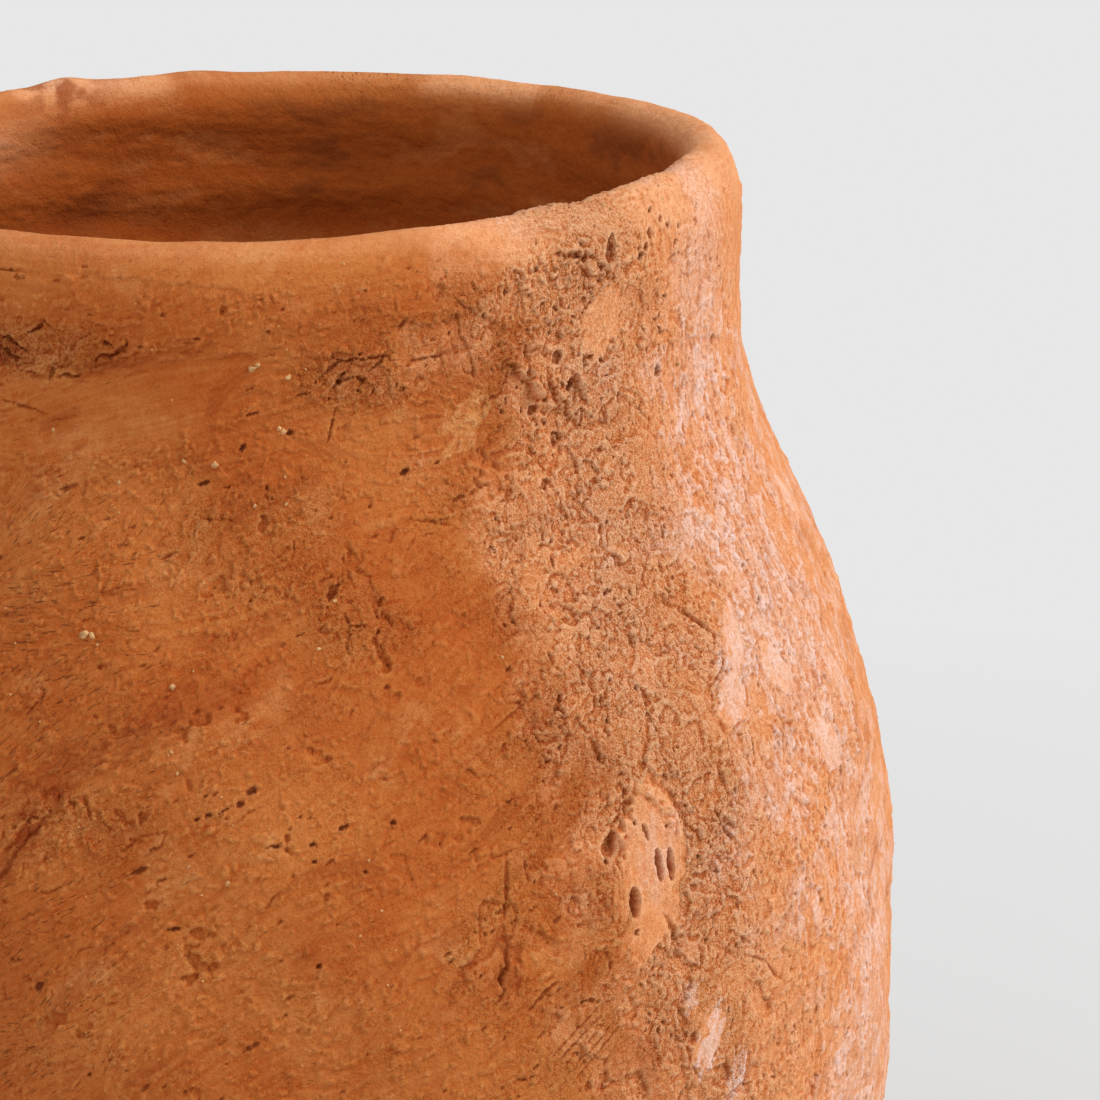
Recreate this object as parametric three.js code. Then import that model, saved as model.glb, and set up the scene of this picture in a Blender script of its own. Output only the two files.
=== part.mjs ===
// A plain hand-built terracotta jar planter with a wide mouth, in millimetres, +Z up.
// The jar is one piece of fired clay: base, belly, shoulder, neck and rolled lip are a single wall.
// It stands on its flat base, with the origin at the middle of the base and its front towards -Y.

import * as THREE from 'three';
import { mergeVertices } from 'three/addons/utils/BufferGeometryUtils.js';

// Driving dimensions
const RIM_HEIGHT = 300;       // base to the crest of the lip, as a mean round the wavy rim
const BELLY_HEIGHT = 155;     // base to the widest ring
const BELLY_RADIUS = 120;     // outside, at the widest ring
const NECK_HEIGHT = 277;      // base to the narrowest ring under the lip
const NECK_RADIUS = 91.1;     // outside, at the narrowest ring
const HEEL_HEIGHT = 6;        // the rounded edge between base and wall
const HEEL_RADIUS = 75.4;     // outside, where the wall leaves the rounded edge
const FOOT_RADIUS = 68;       // the flat that the jar stands on
const WALL = 10;              // thickness of the belly
const FLOOR = 12;             // thickness of the base
const DRAIN_RADIUS = 9;       // the hole through the middle of the base

// The rolled lip: a crest ring, with a fuller bead outside than inside
const CREST_RADIUS = 85.6;
const BEAD_DROP = 13;         // crest down to the fullest point of the outer bead
const BEAD_RADIUS = 91.4;
const MOUTH_DROP = 8;         // crest down to the narrowest point of the mouth
const MOUTH_RADIUS = 79;

// How far each handle of the wall's smooth curves reaches from its ring
const SHOULDER_RISE = 79.6;   // straight up from the belly
const NECK_FALL = 39.6;       // straight down from the neck
const BELLY_FALL = 64.4;      // straight down from the belly
const HEEL_LEAN = new THREE.Vector2(14.1, 47.9); // out and up from the heel

// The mouth isn't level and the wall isn't quite round, as on any jar shaped by hand.
// Each wave has a number of crests round the jar, its height or depth, and where one crest lies,
// in degrees from the front towards +X.
const RIM_WAVES = [
  { crests: 1, size: 1.3, crestAt: 114 },
  { crests: 2, size: 1.1, crestAt: 113 },
  { crests: 3, size: 0.9, crestAt: 65 },
];
const ROUND_WAVES = [
  { crests: 2, size: 1.2, crestAt: 37 },
  { crests: 4, size: 0.4, crestAt: 59.5 },
];
const RIM_WAVE_FROM = 262;    // the rim's waves fade in between these heights
const RIM_WAVE_FULL = 292;
const ROUND_WAVE_FROM = 10;   // the wall leaves its round base between these heights
const ROUND_WAVE_FULL = 90;

// Low dents and swellings that the hands left all over the outside. Each wave has a whole number
// of crests round the jar and climbs slantwise by one crest in its pitch of height.
const DENT_WAVES = [
  { crests: 11, pitch: 62, size: 0.3, crestAt: 20 },
  { crests: 14, pitch: -47, size: 0.26, crestAt: 7 },
  { crests: 17, pitch: 54, size: 0.22, crestAt: 3 },
  { crests: 19, pitch: -38, size: 0.18, crestAt: 14 },
];
const DENTS_FROM = 6;         // the dents fade in above the foot between these heights
const DENTS_FULL = 30;
const DENTS_LEAVE = 262;      // and fade out below the lip between these
const DENTS_END = 286;

const STEPS_AROUND = 88;

const point = (radius, height) => new THREE.Vector2(radius, height);

// A stretch of the outline, cut into steps, without its first point.
function stretch(curve, steps) {
  return curve.getPoints(steps).slice(1);
}

// A quarter of an ellipse about a centre, between two angles in degrees.
function ellipseArc(centre, acrossRadius, upRadius, from, to) {
  const start = THREE.MathUtils.degToRad(from);
  const end = THREE.MathUtils.degToRad(to);
  return new THREE.EllipseCurve(centre.x, centre.y, acrossRadius, upRadius, start, end, end < start);
}

// The outline of half the wall, in two parts: under the base and up the outside to the lip's
// crest, and from there down the inside and through the drain hole.
function wallOutline() {
  const foot = point(FOOT_RADIUS, 0);
  const heel = point(HEEL_RADIUS, HEEL_HEIGHT);
  const belly = point(BELLY_RADIUS, BELLY_HEIGHT);
  const neck = point(NECK_RADIUS, NECK_HEIGHT);
  const bead = point(BEAD_RADIUS, RIM_HEIGHT - BEAD_DROP);
  const mouth = point(MOUTH_RADIUS, RIM_HEIGHT - MOUTH_DROP);
  const neckInside = point(NECK_RADIUS - WALL - 1, NECK_HEIGHT - 5);
  const bellyInside = point(BELLY_RADIUS - WALL, BELLY_HEIGHT);
  const floorEdge = point(HEEL_RADIUS - WALL, FLOOR + 9);
  const floorFlat = point(HEEL_RADIUS - WALL - 12, FLOOR);
  const drainTop = point(DRAIN_RADIUS, FLOOR);
  const drainBottom = point(DRAIN_RADIUS, 0);

  const heelCurve = new THREE.QuadraticBezierCurve(
    foot, point(HEEL_RADIUS - HEEL_HEIGHT * HEEL_LEAN.x / HEEL_LEAN.y, 0), heel);
  const lowerWall = new THREE.CubicBezierCurve(
    heel, heel.clone().add(HEEL_LEAN), point(BELLY_RADIUS, BELLY_HEIGHT - BELLY_FALL), belly);
  const upperWall = new THREE.CubicBezierCurve(
    belly, point(BELLY_RADIUS, BELLY_HEIGHT + SHOULDER_RISE), point(NECK_RADIUS, NECK_HEIGHT - NECK_FALL), neck);
  const neckToBead = new THREE.QuadraticBezierCurve(neck, point(NECK_RADIUS, NECK_HEIGHT + 4), bead);
  const outerLip = ellipseArc(
    point(CREST_RADIUS, bead.y), BEAD_RADIUS - CREST_RADIUS, BEAD_DROP, 0, 90);
  const innerLip = ellipseArc(
    point(CREST_RADIUS, mouth.y), CREST_RADIUS - MOUTH_RADIUS, MOUTH_DROP, 90, 180);
  const throat = new THREE.QuadraticBezierCurve(mouth, point(MOUTH_RADIUS, neckInside.y + 8), neckInside);
  const upperInside = new THREE.CubicBezierCurve(
    neckInside, point(neckInside.x, neckInside.y - NECK_FALL), point(bellyInside.x, BELLY_HEIGHT + SHOULDER_RISE), bellyInside);
  const lowerInside = new THREE.CubicBezierCurve(
    bellyInside, point(bellyInside.x, BELLY_HEIGHT - BELLY_FALL), floorEdge.clone().add(HEEL_LEAN), floorEdge);
  const floorCurve = new THREE.QuadraticBezierCurve(
    floorEdge, point(floorEdge.x - 3, FLOOR), floorFlat);

  const outside = [
    drainBottom,
    foot,
    ...stretch(heelCurve, 3),
    ...stretch(lowerWall, 13),
    ...stretch(upperWall, 14),
    ...stretch(neckToBead, 2),
    ...stretch(outerLip, 5),
  ];
  const inside = [
    ...stretch(innerLip, 4),
    ...stretch(throat, 2),
    ...stretch(upperInside, 8),
    ...stretch(lowerInside, 6),
    ...stretch(floorCurve, 3),
    drainTop,
    drainBottom,
  ];
  return { outside, inside };
}

// The sum of some waves at an angle round the jar, in radians.
function waveAt(waves, angle) {
  return waves.reduce((sum, wave) => {
    const fromCrest = angle - THREE.MathUtils.degToRad(wave.crestAt);
    return sum + wave.size * Math.cos(wave.crests * fromCrest);
  }, 0);
}

// How far the dents push the outside out at an angle, in radians, and a height.
function dentAt(angle, height) {
  const depth = DENT_WAVES.reduce((sum, wave) => {
    const fromCrest = wave.crests * (angle - THREE.MathUtils.degToRad(wave.crestAt));
    return sum + wave.size * Math.cos(fromCrest + 2 * Math.PI * height / wave.pitch);
  }, 0);
  return depth * THREE.MathUtils.smoothstep(height, DENTS_FROM, DENTS_FULL)
    * (1 - THREE.MathUtils.smoothstep(height, DENTS_LEAVE, DENTS_END));
}

// Lifts the rim and pushes the wall in and out by the hand-made waves. The vertices come in
// columns, one for each step round the jar, each with the outside's points first.
function shapeByHand(geometry, pointsInColumn, pointsOutside) {
  const position = geometry.getAttribute('position');
  for (let i = 0; i < position.count; i++) {
    const [x, y, z] = [position.getX(i), position.getY(i), position.getZ(i)];
    const angle = Math.atan2(x, -y);
    const dent = i % pointsInColumn < pointsOutside ? dentAt(angle, z) : 0;
    const outOfRound = waveAt(ROUND_WAVES, angle)
      * THREE.MathUtils.smoothstep(z, ROUND_WAVE_FROM, ROUND_WAVE_FULL);
    const lift = waveAt(RIM_WAVES, angle)
      * THREE.MathUtils.smoothstep(z, RIM_WAVE_FROM, RIM_WAVE_FULL);
    const radius = Math.hypot(x, y);
    const stretchOut = (radius + outOfRound + dent) / radius;
    position.setXYZ(i, x * stretchOut, y * stretchOut, z + lift);
  }
}

function jarGeometry() {
  const { outside, inside } = wallOutline();
  const outline = [...outside, ...inside];
  let geometry = new THREE.LatheGeometry(outline, STEPS_AROUND);
  geometry.rotateX(Math.PI / 2);
  geometry.deleteAttribute('normal');
  geometry.deleteAttribute('uv');
  shapeByHand(geometry, outline.length, outside.length);
  geometry = mergeVertices(geometry, 1e-3);
  geometry.computeVertexNormals();
  return geometry;
}

const terracotta = new THREE.MeshStandardMaterial({ color: 0xb96a3a, roughness: 0.92, metalness: 0 });

const jar = new THREE.Mesh(jarGeometry(), terracotta);
jar.name = 'jar';

const planter = new THREE.Group();
planter.add(jar);

export default planter;
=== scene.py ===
"""A plain hand-built terracotta jar planter: its clay skin, pale grits, floor, light and camera.

Sizes are in millimetres and angles in degrees unless a name says otherwise, and the finished
meshes are written in metres. Angles round the jar are counted from the front (-Y) towards +X.
"""

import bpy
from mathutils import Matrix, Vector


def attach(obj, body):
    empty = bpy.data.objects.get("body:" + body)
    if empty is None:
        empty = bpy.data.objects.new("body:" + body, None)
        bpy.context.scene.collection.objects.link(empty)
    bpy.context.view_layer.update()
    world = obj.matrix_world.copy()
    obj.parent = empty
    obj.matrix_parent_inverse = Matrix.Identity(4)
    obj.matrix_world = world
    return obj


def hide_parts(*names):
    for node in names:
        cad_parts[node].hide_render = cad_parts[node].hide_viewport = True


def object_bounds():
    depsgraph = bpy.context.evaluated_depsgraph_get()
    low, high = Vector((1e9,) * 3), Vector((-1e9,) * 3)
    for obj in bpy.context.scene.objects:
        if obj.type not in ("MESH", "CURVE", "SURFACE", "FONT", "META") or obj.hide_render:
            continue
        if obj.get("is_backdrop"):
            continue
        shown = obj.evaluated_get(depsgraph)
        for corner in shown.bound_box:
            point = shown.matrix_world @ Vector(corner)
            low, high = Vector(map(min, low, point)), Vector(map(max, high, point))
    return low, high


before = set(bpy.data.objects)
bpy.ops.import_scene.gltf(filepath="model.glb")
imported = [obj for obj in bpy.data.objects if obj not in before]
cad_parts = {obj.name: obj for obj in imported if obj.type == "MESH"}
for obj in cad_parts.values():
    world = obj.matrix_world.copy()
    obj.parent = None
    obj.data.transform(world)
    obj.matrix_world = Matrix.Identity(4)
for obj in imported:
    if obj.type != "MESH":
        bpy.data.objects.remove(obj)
cad_low, cad_high = (list(corner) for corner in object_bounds())

import math
from concurrent.futures import ThreadPoolExecutor

import bmesh
import bpy
import numpy as np
from mathutils import Vector

MM = 0.001

# ---------------------------------------------------------------- the jar's form, as in the solid
RIM_HEIGHT = 300
BELLY_HEIGHT = 155
BELLY_RADIUS = 120
NECK_HEIGHT = 277
NECK_RADIUS = 91.1
HEEL_HEIGHT = 6
HEEL_RADIUS = 75.4
FOOT_RADIUS = 68
WALL = 10
FLOOR_THICK = 12
DRAIN_RADIUS = 9
CREST_RADIUS = 85.6
BEAD_DROP = 13
BEAD_RADIUS = 91.4
MOUTH_DROP = 8
MOUTH_RADIUS = 79
SHOULDER_RISE = 79.6
NECK_FALL = 39.6
BELLY_FALL = 64.4
HEEL_LEAN = (14.1, 47.9)
# (crests round the jar, size, where one crest lies)
RIM_WAVES = ((1, 1.3, 114), (2, 1.1, 113), (3, 0.9, 65))
ROUND_WAVES = ((2, 1.2, 37), (4, 0.4, 59.5))
RIM_WAVE_HEIGHTS = (262, 292)
ROUND_WAVE_HEIGHTS = (10, 90)
# (crests round the jar, height in which the wave climbs by one crest, size, where a crest lies)
DENT_WAVES = ((11, 62, 0.30, 20), (14, -47, 0.26, 7), (17, 54, 0.22, 3), (19, -38, 0.18, 14))
DENT_HEIGHTS = (6, 30, 262, 286)
# the clay's mean surface lies this far inside the solid, so that its grain stays in the solid's box
SKIN_INSET = 0.35

# ---------------------------------------------------------------- how finely the skin is cut
FINE_STEP = 0.26
WIDE_STEP = 0.75
INSIDE_STEP = 1.3
FINE_ANGLES = (-26, 100)
FINE_FROM_HEIGHT = 150
FINE_DEPTH_INSIDE = 30


def smoothstep(low, high, value):
    t = np.clip((value - low) / (high - low), 0, 1)
    return t * t * (3 - 2 * t)


def wrapped(angle):
    """An angle counted from -180 to 180."""
    return (angle + 180) % 360 - 180


def counted_on(angle):
    """An angle counted within the turn that starts at the grid's first column."""
    return (angle - FINE_ANGLES[0]) % 360 + FINE_ANGLES[0]


def bell(away):
    """1 where away is 0, and nearly 0 from 2 on, to either side."""
    return np.exp(-away ** 2)


# ---------------------------------------------------------------- smooth random fields
TABLE_SIZE = 4096
CHUNK = 1 << 15
WAYS = np.random.default_rng(3).normal(size=(3, TABLE_SIZE)).astype(np.float32)
WAYS *= 1.5 / np.linalg.norm(WAYS, axis=0)


def lattice_noise(points, table, ways):
    """Gradient noise at points, an array of three rows, with one bump to each unit cell."""
    cell = np.floor(points)
    x, y, z = offset = points - cell
    column, row, layer = cell.astype(np.int32) & (TABLE_SIZE - 1)
    ease_x, ease_y, ease_z = offset * offset * offset * (offset * (offset * 6 - 15) + 10)
    sides = []
    for dx in (0, 1):
        first = table[(column + dx) & (TABLE_SIZE - 1)]
        edges = []
        for dy in (0, 1):
            second = table[(first + row + dy) & (TABLE_SIZE - 1)]
            low = (second + layer) & (TABLE_SIZE - 1)
            high = (low + 1) & (TABLE_SIZE - 1)
            below = ways[0][low] * (x - dx) + ways[1][low] * (y - dy) + ways[2][low] * z
            above = ways[0][high] * (x - dx) + ways[1][high] * (y - dy) + ways[2][high] * (z - 1)
            edges.append(below + (above - below) * ease_z)
        sides.append(edges[0] + (edges[1] - edges[0]) * ease_y)
    return sides[0] + (sides[1] - sides[0]) * ease_x


def noise(points, size, seed, octaves=1, gain=0.5):
    """A smooth random field of about -1 to 1 at points, whose bumps are about size wide.

    size is one number, or three where the bumps are longer one way.
    """
    size = np.broadcast_to(np.asarray(size, np.float32), 3)[:, None]
    scaled = points.reshape(3, -1).astype(np.float32) / size
    tables = [np.random.default_rng(seed * 31 + k).permutation(TABLE_SIZE).astype(np.int32)
              for k in range(octaves)]
    ways = [WAYS[:, table] for table in tables]
    total = np.zeros(scaled.shape[1], np.float32)

    def fill(start):
        part = scaled[:, start:start + CHUNK]
        strength = 1.0
        for table, way in zip(tables, ways):
            total[start:start + CHUNK] += strength * lattice_noise(part, table, way)
            part = part * np.float32(2.03) + np.float32(17.1)
            strength *= gain

    starts = range(0, scaled.shape[1], CHUNK)
    if len(starts) == 1:
        fill(0)
    else:
        with ThreadPoolExecutor(4) as pool:
            list(pool.map(fill, starts))
    return total.reshape(points.shape[1:])


def flat_noise(across, up, size, seed, octaves=1, gain=0.5, slice_at=0.0):
    """The same over a flat patch, whose two distances are given."""
    flat = np.stack([across, up, np.full_like(across, slice_at)])
    return noise(flat, (*np.broadcast_to(size, 2), 1), seed, octaves, gain)


# ---------------------------------------------------------------- the outline of the wall
def bezier(a, b, c, d, steps=200):
    t = np.linspace(0, 1, steps)[:, None]
    a, b, c, d = (np.array(p, float) for p in (a, b, c, d))
    return (1 - t) ** 3 * a + 3 * (1 - t) ** 2 * t * b + 3 * (1 - t) * t * t * c + t ** 3 * d


def bend(a, corner, b, steps=40):
    """A smooth corner from a to b, as a quadratic curve."""
    a, corner, b = (np.array(p, float) for p in (a, corner, b))
    return bezier(a, a + (corner - a) * 2 / 3, b + (corner - b) * 2 / 3, b, steps)


def ellipse_arc(centre, across, up, start, end, steps=60):
    turn = np.radians(np.linspace(start, end, steps))
    return np.column_stack([centre[0] + across * np.cos(turn), centre[1] + up * np.sin(turn)])


def wall_outline():
    """The outline once round as radius and height, and the length along it of the lip's crest."""
    foot = (FOOT_RADIUS, 0)
    heel = (HEEL_RADIUS, HEEL_HEIGHT)
    belly = (BELLY_RADIUS, BELLY_HEIGHT)
    neck = (NECK_RADIUS, NECK_HEIGHT)
    bead = (BEAD_RADIUS, RIM_HEIGHT - BEAD_DROP)
    mouth = (MOUTH_RADIUS, RIM_HEIGHT - MOUTH_DROP)
    neck_in = (NECK_RADIUS - WALL - 1, NECK_HEIGHT - 5)
    belly_in = (BELLY_RADIUS - WALL, BELLY_HEIGHT)
    floor_edge = (HEEL_RADIUS - WALL, FLOOR_THICK + 9)
    floor_flat = (HEEL_RADIUS - WALL - 12, FLOOR_THICK)
    drain_top = (DRAIN_RADIUS, FLOOR_THICK)
    drain_bottom = (DRAIN_RADIUS, 0)
    heel_corner = (HEEL_RADIUS - HEEL_HEIGHT * HEEL_LEAN[0] / HEEL_LEAN[1], 0)
    up_outside = [
        np.array([drain_bottom, foot]),
        bend(foot, heel_corner, heel),
        bezier(heel, np.add(heel, HEEL_LEAN), (BELLY_RADIUS, BELLY_HEIGHT - BELLY_FALL), belly),
        bezier(belly, (BELLY_RADIUS, BELLY_HEIGHT + SHOULDER_RISE),
               (NECK_RADIUS, NECK_HEIGHT - NECK_FALL), neck),
        bend(neck, (NECK_RADIUS, NECK_HEIGHT + 4), bead),
        ellipse_arc((CREST_RADIUS, bead[1]), BEAD_RADIUS - CREST_RADIUS, BEAD_DROP, 0, 90),
    ]
    down_inside = [
        ellipse_arc((CREST_RADIUS, mouth[1]), CREST_RADIUS - MOUTH_RADIUS, MOUTH_DROP, 90, 180),
        bend(mouth, (MOUTH_RADIUS, neck_in[1] + 8), neck_in),
        bezier(neck_in, (neck_in[0], neck_in[1] - NECK_FALL),
               (belly_in[0], BELLY_HEIGHT + SHOULDER_RISE), belly_in),
        bezier(belly_in, (belly_in[0], BELLY_HEIGHT - BELLY_FALL),
               np.add(floor_edge, HEEL_LEAN), floor_edge),
        bend(floor_edge, (floor_edge[0] - 3, FLOOR_THICK), floor_flat),
        np.array([drain_top, drain_bottom]),
    ]
    outside = np.vstack(up_outside)
    outline = np.vstack([outside, *down_inside])
    length = np.r_[0, np.cumsum(np.hypot(*np.diff(outline, axis=0).T))]
    return outline, length, length[len(outside) - 1]


def spaced(length_of, density):
    """Places from 0 to length_of, closed, whose spacing at a place is density(place)."""
    fine = np.linspace(0, length_of, 20001)
    count = np.r_[0, np.cumsum(np.diff(fine) / density((fine[1:] + fine[:-1]) / 2))]
    number = int(round(count[-1]))
    return np.interp(np.arange(number) * count[-1] / number, count, fine)


class Skin:
    """The jar's surface as a grid: rows follow the wall's outline, and columns go round the jar.

    relief is how far each point stands out of the plain form. The masks, all from 0 to 1, tell
    the clay material where the clay is pale, red, beige or dark, and tone lightens or darkens it.
    """

    def __init__(self):
        outline, length, self.crest_at = wall_outline()
        self.total = length[-1]

        def radius_at(at):
            return np.interp(at, length, outline[:, 0])

        def height_at(at):
            return np.interp(at, length, outline[:, 1])

        def row_step(at):
            outside = at < self.crest_at + FINE_DEPTH_INSIDE
            near = smoothstep(FINE_FROM_HEIGHT - 30, FINE_FROM_HEIGHT, height_at(at))
            step = np.where(outside, WIDE_STEP + (FINE_STEP - WIDE_STEP) * near, INSIDE_STEP)
            return np.where(radius_at(at) < FOOT_RADIUS - 4, INSIDE_STEP, step)

        def column_step(turn):
            past_fine = np.minimum(turn - (FINE_ANGLES[1] - FINE_ANGLES[0]), 360 - turn)
            step = FINE_STEP + (WIDE_STEP - FINE_STEP) * smoothstep(0, 14, past_fine)
            return np.degrees(step / BELLY_RADIUS)

        self.along = spaced(self.total, row_step)
        self.angle = spaced(360, column_step) + FINE_ANGLES[0]
        self.radius = radius_at(self.along)
        self.height = height_at(self.along)
        self.outer_rows = int(np.searchsorted(self.along, self.crest_at)) + 1
        climb = (length <= self.crest_at) & (outline[:, 1] > 0)
        self.climb_height, self.climb_at = outline[climb, 1], length[climb]
        self.points = self._plain_points()
        self.normals = self._plain_normals()
        shape = self.points.shape[1:]
        self.angles = np.broadcast_to(wrapped(self.angle)[None, :], shape).astype(np.float32)
        self.heights = np.broadcast_to(self.height[:, None], shape).astype(np.float32)
        self.relief = np.zeros(shape, np.float32)
        self.tone = np.zeros(shape, np.float32)
        self.masks = {name: np.zeros(shape, np.float32)
                      for name in ("pale", "red", "beige", "dark", "inner", "straw", "gritty")}

    def _plain_points(self):
        turn = np.radians(self.angle)[None, :]
        radius = self.radius[:, None]
        height = self.height[:, None]

        def waves(table, heights):
            total = sum(size * np.cos(crests * (turn - math.radians(at)))
                        for crests, size, at in table)
            return total * smoothstep(*heights, height)

        dents = sum(size * np.cos(crests * (turn - math.radians(at)) + 2 * np.pi * height / pitch)
                    for crests, pitch, size, at in DENT_WAVES)
        grown = smoothstep(*DENT_HEIGHTS[:2], height)
        faded = smoothstep(*DENT_HEIGHTS[2:], height)
        dents = dents * grown * (1 - faded)
        dents[self.outer_rows:] = 0
        radius = radius + waves(ROUND_WAVES, ROUND_WAVE_HEIGHTS) + dents
        height = height + waves(RIM_WAVES, RIM_WAVE_HEIGHTS)
        return np.stack([radius * np.sin(turn), -radius * np.cos(turn), height]).astype(np.float32)

    def _plain_normals(self):
        along = np.roll(self.points, -1, 1) - np.roll(self.points, 1, 1)
        around = np.roll(self.points, -1, 2) - np.roll(self.points, 1, 2)
        normal = np.cross(around, along, axis=0)
        return normal / np.maximum(np.linalg.norm(normal, axis=0), 1e-9)

    def surface(self):
        """Every point of the clay with its relief, and the plain form's directions outward."""
        return self.points + self.normals * (self.relief - SKIN_INSET), self.normals

    def along_at(self, height):
        """The length along the outline of a height on the outside."""
        return np.interp(height, self.climb_height, self.climb_at)

    def aside(self, angle):
        """How far round from an angle each cell lies, from -180 to 180."""
        return wrapped(self.angles - angle)

    def cell(self, angle, height):
        """The row and the column of a place on the outside."""
        row = np.searchsorted(self.along, self.along_at(height))
        column = np.searchsorted(self.angle, counted_on(angle))
        return row, min(column, len(self.angle) - 1)

    def near(self, angle, height, reach):
        """The grid's cells near a place on the outside, and their distances across and up."""
        middle = self.along_at(height)
        radius = np.interp(middle, self.along, self.radius)
        first, last = np.searchsorted(self.along, (middle - reach, middle + reach))
        last = min(last, self.outer_rows)
        span = min(math.degrees(reach / radius), 175)
        low = counted_on(angle - span)
        start, stop = np.searchsorted(self.angle, (low, low + 2 * span))
        if low + 2 * span > FINE_ANGLES[0] + 360:
            more = np.searchsorted(self.angle, low + 2 * span - 360)
            columns = np.r_[np.arange(start, stop), np.arange(more)]
            area = np.ix_(np.arange(first, last), columns)
        else:
            columns = slice(start, stop)
            area = (slice(first, last), columns)
        aside = wrapped(self.angle[columns] - angle)
        across = (np.radians(aside) * radius).astype(np.float32)
        up = (self.along[first:last] - middle).astype(np.float32)
        return area, *np.meshgrid(across, up)


def turned(across, up, tilt):
    """Distances along and across a direction that rises by tilt degrees to the right."""
    c, s = math.cos(math.radians(tilt)), math.sin(math.radians(tilt))
    return across * c + up * s, up * c - across * s


def bent(across, up, tilt, bow, length):
    """The same for a drag of a given length that is bent sideways by bow."""
    along, side = turned(across, up, tilt)
    return along, side - bow * along * along / length * 4


def blurred(field, cells):
    """The mean of a field over a square of cells, which is joined to itself both ways."""
    for axis in (0, 1):
        wide = np.take(field, np.arange(-cells - 1, field.shape[axis] + cells), axis, mode="wrap")
        sums = np.cumsum(wide, axis, dtype=np.float64)
        head = np.take(sums, np.arange(2 * cells + 1, sums.shape[axis]), axis)
        tail = np.take(sums, np.arange(sums.shape[axis] - 2 * cells - 1), axis)
        field = (head - tail) / (2 * cells + 1)
    return field.astype(np.float32)


# ---------------------------------------------------------------- marks in the clay
FAR_AWAY = 900        # each mark takes its own slice of the noise, up to this far from the first


def oval(along, side, length, width):
    """How far out of an oval each point is: 1 on its edge."""
    return np.hypot(along / (length / 2), side / (width / 2))


def ragged(across, up, size, rng, octaves=2):
    return flat_noise(across, up, size, 5, octaves, 0.6, rng.uniform(0, FAR_AWAY))


def darken(skin, area, amount):
    """Makes an area at least as dark as amount: dark clay, and painted shade in pits, holes and
    cracks.
    """
    dark = skin.masks["dark"]
    dark[area] = np.maximum(dark[area], amount)


def pit(skin, rng, angle, height, length, width, tilt, depth, stain=0.6, rim=0.08):
    """A hole where a grain fell out or a straw burned away, with a ragged, slightly raised rim."""
    area, across, up = skin.near(angle, height, max(length, width) * 0.8 + 0.5)
    along, side = turned(across, up, tilt)
    away = oval(along, side, length, width) * (1 + 0.5 * ragged(across, up, width * 0.6, rng))
    bowl = 1 - smoothstep(0.7, 1.0, away)
    collar = bell((away - 1.3) / 0.25)
    skin.relief[area] += depth * (rim * collar - bowl)
    # painted shade, partly dark burnt clay: the bowl is darkened by stain
    darken(skin, area, stain * bowl)


def hole(skin, rng, angle, height, length, width, tilt, depth, stain=0.4, slant=0.0):
    """A clean-edged hole with steep walls; slant makes it wider at one end, as a leaf is."""
    area, across, up = skin.near(angle, height, length * 0.8 + 0.5)
    along, side = turned(across, up, tilt)
    side = side / np.clip(1 - slant * along / (length / 2), 0.25, 2)
    away = oval(along, side, length, width) * (1 + 0.10 * ragged(across, up, width, rng))
    floor = 0.8 + 0.2 * np.clip(1 - away, 0, 1) + 0.08 * ragged(across, up, 0.7, rng)
    bowl = (1 - smoothstep(0.84, 1.04, away)) * floor
    collar = bell((away - 1.18) / 0.12)
    skin.relief[area] += 0.06 * collar - depth * bowl
    # painted shade: the bowl is darkened by stain
    skin.masks["dark"][area] *= 1 - bowl
    darken(skin, area, stain * bowl)


def lump(skin, rng, angle, height, length, width, tilt, rise, sharp=0.5):
    """A crumb of clay pressed on the wall, or with a negative rise a shallow dent."""
    area, across, up = skin.near(angle, height, max(length, width) * 0.8 + 0.5)
    along, side = turned(across, up, tilt)
    away = oval(along, side, length, width) * (1 + 0.4 * ragged(across, up, width * 0.6, rng))
    skin.relief[area] += rise * (1 - smoothstep(sharp, 1.15, away))


def stain(skin, rng, mask, angle, height, length, width, tilt, strength):
    """A change in the clay's colour, with a ragged edge."""
    area, across, up = skin.near(angle, height, max(length, width) * 0.8 + 2)
    along, side = turned(across, up, tilt)
    wobble = flat_noise(along, side, (width * 0.5, width * 0.2), 6, 4, 0.62, rng.uniform(0, FAR_AWAY))
    away = oval(along, side, length, width) + 0.75 * wobble
    target = skin.masks[mask]
    target[area] = np.clip(target[area] + strength * (1 - smoothstep(0.45, 1.15, away)), 0, 1)


def roughened(line, rng, jag):
    """The line with more points, each moved a little to the side."""
    line = np.array(line, float)
    lengths = np.hypot(np.diff(line[:, 0]) * 2, np.diff(line[:, 1]))
    points = [line[0]]
    for a, b, length in zip(line, line[1:], lengths):
        steps = max(1, int(length / 1.3))
        for k in range(1, steps + 1):
            point = a + (b - a) * k / steps
            if k < steps:
                point = point + rng.normal(0, jag, 2) * (0.5, 1)
            points.append(point)
    return points


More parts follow.
